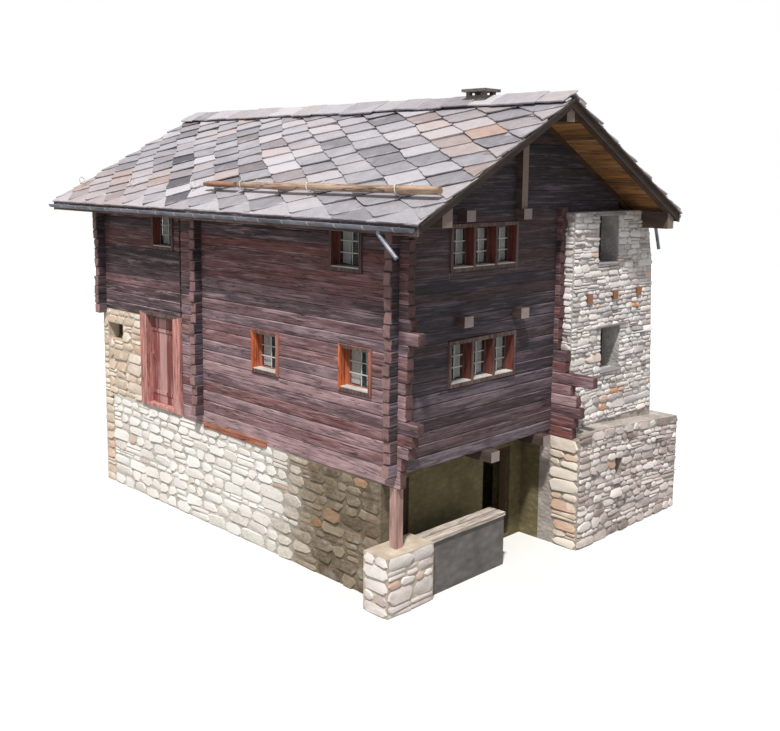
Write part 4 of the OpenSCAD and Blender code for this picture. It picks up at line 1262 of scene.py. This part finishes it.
def stoneBase():
    batch = newBatch()
    low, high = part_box("base_block")
    frontY = low.y
    vents = [o for o in frame["record"]["physics"]["openings"] if o["name"] == "base_vent"]
    ventLow, ventHigh = vents[0]["box_m"]
    holes = [(ventLow[0] - 0.01, ventHigh[0] + 0.01, ventLow[2] - 0.01, ventHigh[2] + 0.01)]
    fallStart = corner.x + ledge["fallFrom"]
    topLeft, topRight = corner.z, corner.z - ledge["fall"]

    def topAt(u):
        t = (u - fallStart) / (high.x - fallStart)
        return topLeft + (topRight - topLeft) * min(1, max(0, t))

    def frontPlace(u, v, depth):
        # rows follow the sloping ledge near the top
        share = (v - ground) / (topLeft - ground)
        return Vector((u, frontY - depth, ground + share * (topAt(u) - ground)))
    cladWall(batch, frontPlace, stoneFoot, topLeft - 0.005,
             lambda v: (low.x + 0.008, high.x - 0.008), holes, baseStyle, 111)
    cladWall(batch, flatPlace((high.x, 0), (0, 1), (1, 0)), stoneFoot, topRight - 0.01,
             lambda v: (frontY + 0.008, high.y - 0.008), [],
             dict(baseStyle, proud=(-0.012, -0.001)), 112)
    cladWall(batch, flatPlace((0, high.y), (1, 0), (0, 1)), stoneFoot, topRight - 0.01,
             lambda v: (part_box("wing_end_walls")[1].x + 0.01, high.x - 0.012), [], baseStyle, 113,
             True)
    makePiece(batch, "baseStones", "baseStone", "rubble")
    batch = newBatch()
    cladWall(batch, flatPlace((low.x, 0), (0, -1), (-1, 0)), stoneFoot,
             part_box("inner_log_wall")[0].z - 0.01,
             lambda v: (-frontY - 0.5 - 0.1 * v, -frontY - 0.008), [], coarseStyle, 114)
    makePiece(batch, "baseQuoins", "plasterStone", "rubble")


stoneBase()


def stoneCellar():
    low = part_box("cellar_side_wall")[0]
    place = flatPlace((low.x, 0), (0, 1), (-1, 0))
    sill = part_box("side_log_wall")[0].z
    batch = newBatch()

    def liming(u):
        # whitewash is left on the far half, and bare stone is near the corner
        share = (u - corner.y - whitewash["from"]) / whitewash["over"]
        return 0.85 * min(1, max(0, share)) + 0.12 * wave(u, 3.3, 8.1)
    style = dict(coarseStyle, tone=(0.12, 0.08), warm=0.04, liming=liming, proud=(0.002, 0.015))
    cladWall(batch, place, stoneFoot, sill - 0.005,
             lambda v: (low.y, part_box("back_base_wall")[0].y), [], style, 116, True)
    makePiece(batch, "cellarStones", "cellarStone", "rubble")


stoneCellar()


def stoneSide():
    batch = newBatch()
    low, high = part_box("side_stone_wall")
    holes = [(a.y, b.y, a.z, b.z) for a, b in wingHoles if a.x < corner.x + 1]
    place = flatPlace((low.x, 0), (0, 1), (-1, 0))
    cladWall(batch, place, low.z, high.z - 0.005, lambda v: (low.y + 0.01, high.y), holes,
             coarseStyle, 121, True)
    baseLow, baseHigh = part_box("back_base_wall")
    cladWall(batch, place, stoneFoot, low.z, lambda v: (baseLow.y, baseHigh.y - 0.006), [],
             coarseStyle, 122, True)
    cladWall(batch, place, low.z, high.z - 0.005, lambda v: (high.y, baseHigh.y - 0.006), [],
             coarseStyle, 123, True)
    cladWall(batch, flatPlace((0, baseHigh.y), (1, 0), (0, 1)), stoneFoot, baseHigh.z - 0.11,
             lambda v: (baseLow.x + 0.006, baseHigh.x - 0.006), [], coarseStyle, 124, True)
    makePiece(batch, "farStones", "plasterStone", "rubble")


stoneSide()


def stonePier():
    batch = newBatch()
    low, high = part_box("post_pier")
    for number, (axis, end) in enumerate(((0, 0), (0, 1), (1, 0), (1, 1))):
        out = 2 * end - 1
        face = (low, high)[end][1 - axis]
        place = (flatPlace((0, face), (1, 0), (0, out)) if axis == 0
                 else flatPlace((face, 0), (0, 1), (out, 0)))
        cladWall(batch, place, low.z + 0.002, high.z - 0.004,
                 lambda v: (low[axis] + 0.006, high[axis] - 0.006), [], pierStyle, 131 + number,
                 (axis == 0) == (end == 1))
    makePiece(batch, "pierStones", "baseStone", "rubble")


stonePier()
print("stones laid")


# Finishes of the nodes that keep their own shape

keptFinishes = {
    "wingMortar": ("wing_end_walls", "wing_side_wall"), "baseMortar": ("base_block",),
    "plaster": ("side_stone_wall", "back_base_wall", "post_pier"),
    "limedMortar": ("cellar_side_wall",),
    "cellarPlaster": ("cellar_cross_walls", "cellar_inner_wall"),
    "darkMortar": ("stone_floors", "chimney"), "greyPlaster": ("parapet_wall",),
    "gableWood": ("inner_door_posts",), "postWood": ("corner_post",),
    "beamTimber": ("floor_beams",), "wingBeamTimber": ("wing_beams",),
    "floorWood": ("timber_floors",),
    "purlinTimber": ("ridge_purlin", "eaves_plates", "gable_binder"),
    "rafterTimber": ("left_rafters", "right_rafters", "wing_windows", "cellar_door_frames"),
    "darkBrown": ("verge_boards",), "sideFrameWood": ("log_windows",),
    "windowGlass": ("window_glass",), "doorPostWood": ("door_frame",),
    "doorLeafWood": ("door_leaf",), "plankWood": ("parapet_planks",)}
for finish, nodeNames in keptFinishes.items():
    for nodeName in nodeNames:
        nodes[nodeName].data.materials.clear()
        nodes[nodeName].data.materials.append(finishes[finish])
doorway = nodes["door_frame"].data
doorway.materials.append(finishes["gableFrameWood"])
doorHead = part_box("door_frame")[1].z - 0.13
for polygon in doorway.polygons:
    if polygon.center.z > doorHead:
        polygon.material_index = 1
frames = nodes["log_windows"].data
for finish in ("gableFrameWood", "orangeReveal", "redReveal"):
    frames.materials.append(finishes[finish])
frameEdge = 0.062
for polygon in frames.polygons:
    onGable = polygon.center.x > corner.x + 0.5
    axis = 0 if onGable else 1
    outside = any(abs(polygon.center[axis] - box[end][axis]) < 0.01
                  for box in windowBoxes for end in ("low", "high"))
    reveal = abs(polygon.normal[axis]) > 0.7 and not outside
    # windows high on the walls get the dark frame and reveal finishes, a painted shade from the
    # eaves
    high = polygon.center.z > corner.z + 2.6
    if reveal:
        polygon.material_index = 3 if onGable or high else 2
    elif onGable or high:
        polygon.material_index = 1
    elif abs(polygon.normal[1 - axis]) > 0.7:
        box = min(windowBoxes, key=lambda b: ((b["low"] + b["high"]) / 2 - polygon.center).length)
        level = polygon.center.z
        # the head and sill members get the dark brown: on the head it is painted shade, on the sill
        # the wood's own colour
        if not box["low"].z + frameEdge < level < box["high"].z - frameEdge:
            polygon.material_index = 1
        elif polygon.center.y > box["high"].y - frameEdge:
            polygon.material_index = 2
print("finishes given")


# Windows: glazing bars, pale sills and gathered curtains

bars = {"width": 0.018, "thick": 0.012, "rows": 3, "columns": 2, "off": 0.009, "bevel": 0.002}


def lightsOf():
    # every pane of the log walls' windows, with its direction and its window
    found = []
    for pane in solidsOf("window_glass"):
        middle = (pane["low"] + pane["high"]) / 2
        for box in windowBoxes:
            inside = all(box["low"][a] - 0.01 < middle[a] < box["high"][a] + 0.01
                         for a in range(3))
            if inside:
                size = box["high"] - box["low"]
                along = 0 if size.x > size.y else 1
                outward = 1 if along == 0 and middle.y > corner.y + 4 else -1
                found.append({"pane": pane, "middle": middle, "window": box, "along": along,
                              "outward": outward})
    return found


lights = lightsOf()
single = next(one for one in lights if one["along"] == 1)
frameWidth = 0.06
sashMargin = ((single["window"]["high"] - single["window"]["low"]).y - 2 * frameWidth
              - (single["pane"]["high"] - single["pane"]["low"]).y) / 2


def buildBars():
    batch = newBatch()
    for one in lights:
        pane, along = one["pane"], one["along"]
        across = 1 - along
        depth = one["middle"][across] + one["outward"] * bars["off"]
        size = pane["high"] - pane["low"]
        for axis, count in ((along, bars["columns"]), (2, bars["rows"])):
            for k in range(1, count):
                u = pane["low"][axis] + size[axis] * k / count
                low, high = pane["low"].copy(), pane["high"].copy()
                low[axis], high[axis] = u - bars["width"] / 2, u + bars["width"] / 2
                low[across], high[across] = depth - bars["thick"] / 2, depth + bars["thick"] / 2
                softBox(batch, low, high, bars["bevel"], (0.6, 0, 0))
    makePiece(batch, "glazingBars", "paleBars", "frame_wood")


sill = {"lift": 0.0005, "thick": 0.02, "back": 0.022, "behind": 0.004, "bevel": 0.003}


def buildSills():
    batch = newBatch()
    for one in lights:
        along, across = one["along"], 1 - one["along"]
        low, high = one["pane"]["low"].copy(), one["pane"]["high"].copy()
        low[along] -= sashMargin
        high[along] += sashMargin
        low.z = one["window"]["low"].z + frameWidth + sill["lift"]
        high.z = low.z + sill["thick"]
        face = one["window"]["low" if one["outward"] < 0 else "high"][across]
        sash = one["middle"][across] + one["outward"] * sill["back"]
        low[across], high[across] = sorted((face - one["outward"] * sill["behind"], sash))
        softBox(batch, low, high, sill["bevel"], (0.7, 0, 0))
    makePiece(batch, "windowSills", "paleBars", "frame_wood")


curtain = {"behind": 0.034, "wave": 0.008, "folds": 4.5, "cover": 0.4, "columns": 44, "rows": 6,
           "fromTop": 0.004, "fromFoot": 0.012, "fromSide": 0.005, "drawn": 0.12, "crease": 60}


def hangCurtains():
    number = 0
    for one in lights:
        along, across = one["along"], 1 - one["along"]
        pane = one["pane"]
        wide = pane["high"][along] - pane["low"][along]
        top = pane["high"].z - curtain["fromTop"]
        bottom = pane["low"].z + curtain["fromFoot"]
        for side in (0, 1):
            number += 1
            rng = random.Random(500 + number)
            start = pane["low"][along] + curtain["fromSide"]
            cover = wide * curtain["cover"] * rng.uniform(0.85, 1.15)
            if side:
                start = pane["high"][along] - curtain["fromSide"] - cover
            phase = rng.uniform(0, 6.28)
            points = []
            columns, rows = curtain["columns"], curtain["rows"]
            for r in range(rows + 1):
                v = r / rows
                for c in range(columns + 1):
                    t = c / columns
                    turn = 2 * math.pi * curtain["folds"] * t + phase + 0.4 * v
                    place = [0, 0, top + (bottom - top) * v]
                    drawn = curtain["drawn"] * cover * v * (t if side == 0 else t - 1)
                    place[along] = start + cover * t - drawn
                    place[across] = (one["middle"][across] - one["outward"] * curtain["behind"]
                                     + curtain["wave"] * (0.6 + 0.4 * v) * math.sin(turn))
                    points.append(Vector(place))
            starts = [r * (columns + 1) + c for r in range(rows) for c in range(columns)]
            faces = [(a, a + 1, a + columns + 2, a + columns + 1) for a in starts]
            batch = newBatch()
            addFaces(batch, points, faces, (0.5, 0, 0))
            piece = makePiece(batch, "curtain" + str(number), "curtainCloth", "frame_wood",
                              sharp=curtain["crease"])


buildBars()
buildSills()
hangCurtains()
print("window details made")


# Eaves: fascia, zinc gutters on their brackets, snow poles in their loops

fascia = {"back": 0.028, "front": 0.003, "below": 0.15, "above": 0.02, "lengths": (2.8, 3.8),
          "end": 0.03, "joint": 0.002, "bevel": 0.003}
eaves = {"gutterRadius": 0.066, "sheet": 0.004, "lipRadius": 0.006, "in": 0.07,
         "bracketRadius": 0.0692, "bracketStep": 0.62, "strap": 0.0035, "strapWidth": 0.028,
         "spoutRadius": 0.032, "spoutSides": 14}
spouts = {-1: {"from": 0.2, "fall": (-0.37, -0.44)}, 1: {"from": 0.33, "fall": (-0.12, -0.69)}}


def buildFascia():
    batch = newBatch()
    rng = random.Random(300)
    top = boardTop - slopeLength * math.sin(pitch)
    for side, edge in ((-1, eaveLeft), (1, eaveRight)):
        left, right = sorted((edge - side * fascia["back"], edge - side * fascia["front"]))
        y = roofFront + fascia["end"]
        while y < roofBack - 0.05:
            end = min(y + rng.uniform(*fascia["lengths"]), roofBack - fascia["end"])
            if roofBack - end < 1:
                end = roofBack - fascia["end"]
            softBox(batch, (left, y + fascia["joint"], top - fascia["below"]),
                    (right, end - fascia["joint"], top + fascia["above"]), fascia["bevel"],
                    (rng.uniform(0.3, 0.8), rng.uniform(0, 0.6), 0))
            y = end
    makePiece(batch, "fasciaBoards", "fasciaWood", "rafter_wood")


def halfRing(batch, centreX, z, radius, thick, y0, y1, shade):
    # a half-round trough or strap, open upwards
    count = 12
    points = []
    for y in (y0, y1):
        for r in (radius, radius - thick):
            for k in range(count + 1):
                turn = math.pi + math.pi * k / count
                points.append(Vector((centreX + r * math.cos(turn), y, z + r * math.sin(turn))))
    n = count + 1
    faces = []
    for k in range(count):
        faces.append((k, k + 1, 2 * n + k + 1, 2 * n + k))
        faces.append((n + k + 1, n + k, 3 * n + k, 3 * n + k + 1))
        faces.append((k + 1, k, n + k, n + k + 1))
        faces.append((2 * n + k, 2 * n + k + 1, 3 * n + k + 1, 3 * n + k))
    for k, flip in ((0, False), (count, True)):
        face = (k, 2 * n + k, 3 * n + k, n + k)
        faces.append(face[::-1] if flip else face)
    addFaces(batch, points, faces, shade)


def buildGutters():
    batch, straps = newBatch(), newBatch()
    low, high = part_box("gutters")
    radius, strapRadius = eaves["gutterRadius"], eaves["bracketRadius"]
    for trough in solidsOf("gutters"):
        side = -1 if trough["low"].x < ridgeX else 1
        centre = low.x + eaves["in"] if side < 0 else high.x - eaves["in"]
        z = max(p.z for p in trough["points"])
        y0, y1 = max(trough["low"].y, roofFront + 0.02), trough["high"].y
        halfRing(batch, centre, z, radius, eaves["sheet"], y0, y1, (0.5, 0, 0))
        for y in (y0 + 0.002, y1 - 0.005):
            halfRing(batch, centre, z, radius - 0.001, radius - 0.004, y, y + 0.003, (0.4, 0, 0))
        # the rolled outer edge
        rolled = [Vector((centre + side * (radius - 0.003), y, z)) for y in (y0, y1)]
        sweepTube(batch, rolled, [eaves["lipRadius"]] * 2, 8, (0.6, 0, 0))
        y = y0 + 0.3
        while y < y1 - 0.1:
            halfRing(straps, centre, z, strapRadius, eaves["strap"], y, y + eaves["strapWidth"],
                     (0.9, 0, 0))
            inner = centre - side * strapRadius
            left, right = sorted((inner, inner - side * 0.02))
            softBox(straps, (left, y, z - 0.02), (right, y + 0.022, z + 0.012), 0.001, (0.3, 0, 0))
            y += eaves["bracketStep"]
        # a short bent spout near the gable
        start = Vector((centre, corner.y - spouts[side]["from"], z - radius + eaves["sheet"]))
        across, down = spouts[side]["fall"]
        fall = Vector((0, across, down + radius))
        bend = start + Vector((0, 0, -0.05))
        path = [start, bend, bend + (start + fall - bend) * 0.08, start + fall]
        rim = [path[3] - fall.normalized() * 0.012, path[3]]
        for line, wide in ((path, eaves["spoutRadius"]), (rim, eaves["spoutRadius"] + 0.003)):
            sweepTube(batch, line, [wide] * len(line), eaves["spoutSides"], (0.5, 0, 0))
    makePiece(batch, "zincGutters", "zincGrey", "zinc", ["gutters"])
    makePiece(straps, "gutterBrackets", "bracketZinc", "zinc")


poles = {"run": 3.488, "lift": 0.175, "radius": 0.06, "step": 0.12, "sides": 14}
loop = {"held": 0.078, "empty": 0.07, "rod": 0.0085, "points": 24, "sides": 7, "lean": 0.03,
        "foot": (0.35, 0.105), "footRods": (0.008, 0.006), "crease": 50}


def buildPoles():
    batch = newBatch()
    pieces = sorted(solidsOf("snow_poles"), key=lambda one: one["low"].y)
    for number, one in enumerate(pieces):
        # the first is the long pale one, and the short ones still have their bark
        count = max(6, round((one["high"].y - one["low"].y) / poles["step"]))
        path, radii = [], []
        for k in range(count + 1):
            y = one["low"].y + (one["high"].y - one["low"].y) * k / count
            path.append(slopePoint(-1, y, poles["run"] + 0.02 * wave(y * 0.8, number, 1.1),
                                   poles["lift"] + 0.012 * wave(y * 0.9, number, 5.1)))
            taper = 1.08 - 0.2 * k / count if number == 0 else 0.92
            radii.append(poles["radius"] * taper * (1 + 0.07 * wave(y * 3, number, 2.7)))
        radii[0] *= 0.93
        radii[-1] *= 0.6 if number else 0.93
        shades = []
        for k, place in enumerate(path):
            bark = 0.75 if number else 0.15 + 0.35 * max(0, wave(place.y * 1.4, 1, 6))
            tone = 0.4 if number else 0.62 + 0.2 * wave(place.y * 2, 2, 3)
            end = 1.0 if k in (0, count) else 0.0
            shades += [(tone, bark, end, 0.0)] * poles["sides"]
        sweepTube(batch, path, radii, poles["sides"], shades)
    makePiece(batch, "snowPoles", "poleWood", "pole_wood", ["snow_poles"])
    loops = newBatch()
    for hook in solidsOf("snow_hooks"):
        y = (hook["low"].y + hook["high"].y) / 2
        centre = slopePoint(-1, y, poles["run"], poles["lift"])
        held = any(one["low"].y < y < one["high"].y for one in pieces)
        radius = loop["held" if held else "empty"]
        turns = [2 * math.pi * k / loop["points"] for k in range(loop["points"])]
        path = [centre + Vector((radius * math.cos(turn), loop["lean"] * math.sin(turn + 1),
                                 radius * math.sin(turn))) for turn in turns]
        sweepTube(loops, path, [loop["rod"]] * len(path), loop["sides"], (0.8, 0, 0), True)
        up, lift = loop["foot"]
        foot = slopePoint(-1, y, poles["run"] - up, lift)
        sweepTube(loops, [centre + Vector((0.04, 0, -radius)), foot], loop["footRods"],
                  loop["sides"], (0.8, 0, 0))
    makePiece(loops, "snowLoops", "whiteMetal", "zinc", ["snow_hooks"], loop["crease"])


plank = {"from": 3.25, "to": 5.2, "proud": 0.03, "below": 0.04, "above": 0.08}


def buildFootPlank():
    batch = newBatch()
    face = min(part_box("cellar_side_wall")[0].x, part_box("side_log_wall")[0].x)
    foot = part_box("side_log_wall")[0].z
    softBox(batch, (face - plank["proud"], corner.y + plank["from"], foot - plank["below"]),
            (face + 0.01, corner.y + plank["to"], foot + plank["above"]), 0.004, (0.5, 0.15, 0, 0),
            random.Random(303), 0.006)
    makePiece(batch, "footPlank", "footWood", "rafter_wood")


buildFootPlank()
buildFascia()
buildGutters()
buildPoles()
print("eaves made")


# Camera, light and floor

camera = {"place": (-10.322, -10.050, 4.707), "turn": 45.22, "down": 7.646, "roll": 0.0109,
          "lens": 44.31, "shift": -0.0841}


def setCamera():
    data = bpy.data.cameras.new("photoCamera")
    data.lens = camera["lens"]
    data.shift_y = camera["shift"]
    data.clip_end = 200
    holder = placeObject("photoCamera", data)
    turn, down, roll = math.radians(camera["turn"]), math.radians(camera["down"]), camera["roll"]
    right = Vector((math.cos(turn), -math.sin(turn), 0))
    forward = Vector((math.sin(turn) * math.cos(down), math.cos(turn) * math.cos(down),
                      -math.sin(down)))
    up = right.cross(forward)
    r = right * math.cos(roll) + up * math.sin(roll)
    u = -right * math.sin(roll) + up * math.cos(roll)
    place = corner + Vector(camera["place"])
    holder.matrix_world = Matrix(((r.x, u.x, -forward.x, place.x), (r.y, u.y, -forward.y, place.y),
                                  (r.z, u.z, -forward.z, place.z), (0, 0, 0, 1)))
    bpy.context.scene.camera = holder


setCamera()

light = {"sun": 3.5, "softness": 4.0, "warm": (1.0, 0.97, 0.93), "from": (-1.0, -0.69, 2.08),
         "sky": 0.36, "cool": (0.93, 0.97, 1.0, 1)}


def setLight():
    data = bpy.data.lights.new("sun", "SUN")
    data.energy = light["sun"]
    data.angle = math.radians(light["softness"])
    data.color = light["warm"]
    sun = placeObject("sun", data)
    sun.rotation_mode = "QUATERNION"
    sun.rotation_quaternion = Vector(light["from"]).to_track_quat("Z", "Y")
    world = bpy.data.worlds.new("sky")
    bpy.context.scene.world = world
    world.use_nodes = True
    world.node_tree.nodes.clear()
    sky = {"tree": world.node_tree}
    # white where it is seen, mirrored or looked through, and plain light for the rest
    path = addNode(sky, "ShaderNodeLightPath").outputs
    either = calc(sky, "ADD", path["Is Camera Ray"], path["Is Glossy Ray"])
    both = addNode(sky, "ShaderNodeMixShader")
    join(sky, calc(sky, "ADD", either, path["Is Transmission Ray"], True), both.inputs[0])
    for number, (colour, strength) in enumerate(((light["cool"], light["sky"]),
                                                 ((1, 1, 1, 1), 1.0)), 1):
        backdrop = addNode(sky, "ShaderNodeBackground")
        join(sky, colour, backdrop.inputs["Color"])
        join(sky, strength, backdrop.inputs["Strength"])
        join(sky, backdrop.outputs[0], both.inputs[number])
    join(sky, both.outputs[0], addNode(sky, "ShaderNodeOutputWorld").inputs["Surface"])


setLight()


floor = {"radius": 60, "corners": 64, "lit": (0.38, 0.375, 0.36), "seen": (0.86, 0.9)}


def setFloor():
    finish = newFinish("paleFloor", 0.9)
    path = addNode(finish, "ShaderNodeLightPath")
    soft = grain(finish, 0.6, (1, 1, 1), 3.0, 0.5)
    seen = ramp(finish, soft, *zip((0.3, 0.7), floor["seen"]))
    colour = mix(finish, path.outputs["Is Camera Ray"], floor["lit"], seen)
    radius, count = floor["radius"], floor["corners"]
    points = [Vector((radius * math.cos(2 * math.pi * k / count),
                      radius * math.sin(2 * math.pi * k / count), ground)) for k in range(count)]
    mesh = bpy.data.meshes.new("floor")
    mesh.from_pydata(points, [], [tuple(range(count))])
    mesh.materials.append(complete(finish, colour))
    placeObject("floor", mesh)


setFloor()
bpy.context.scene.view_settings.view_transform = "Standard"
print("camera, light and floor set")
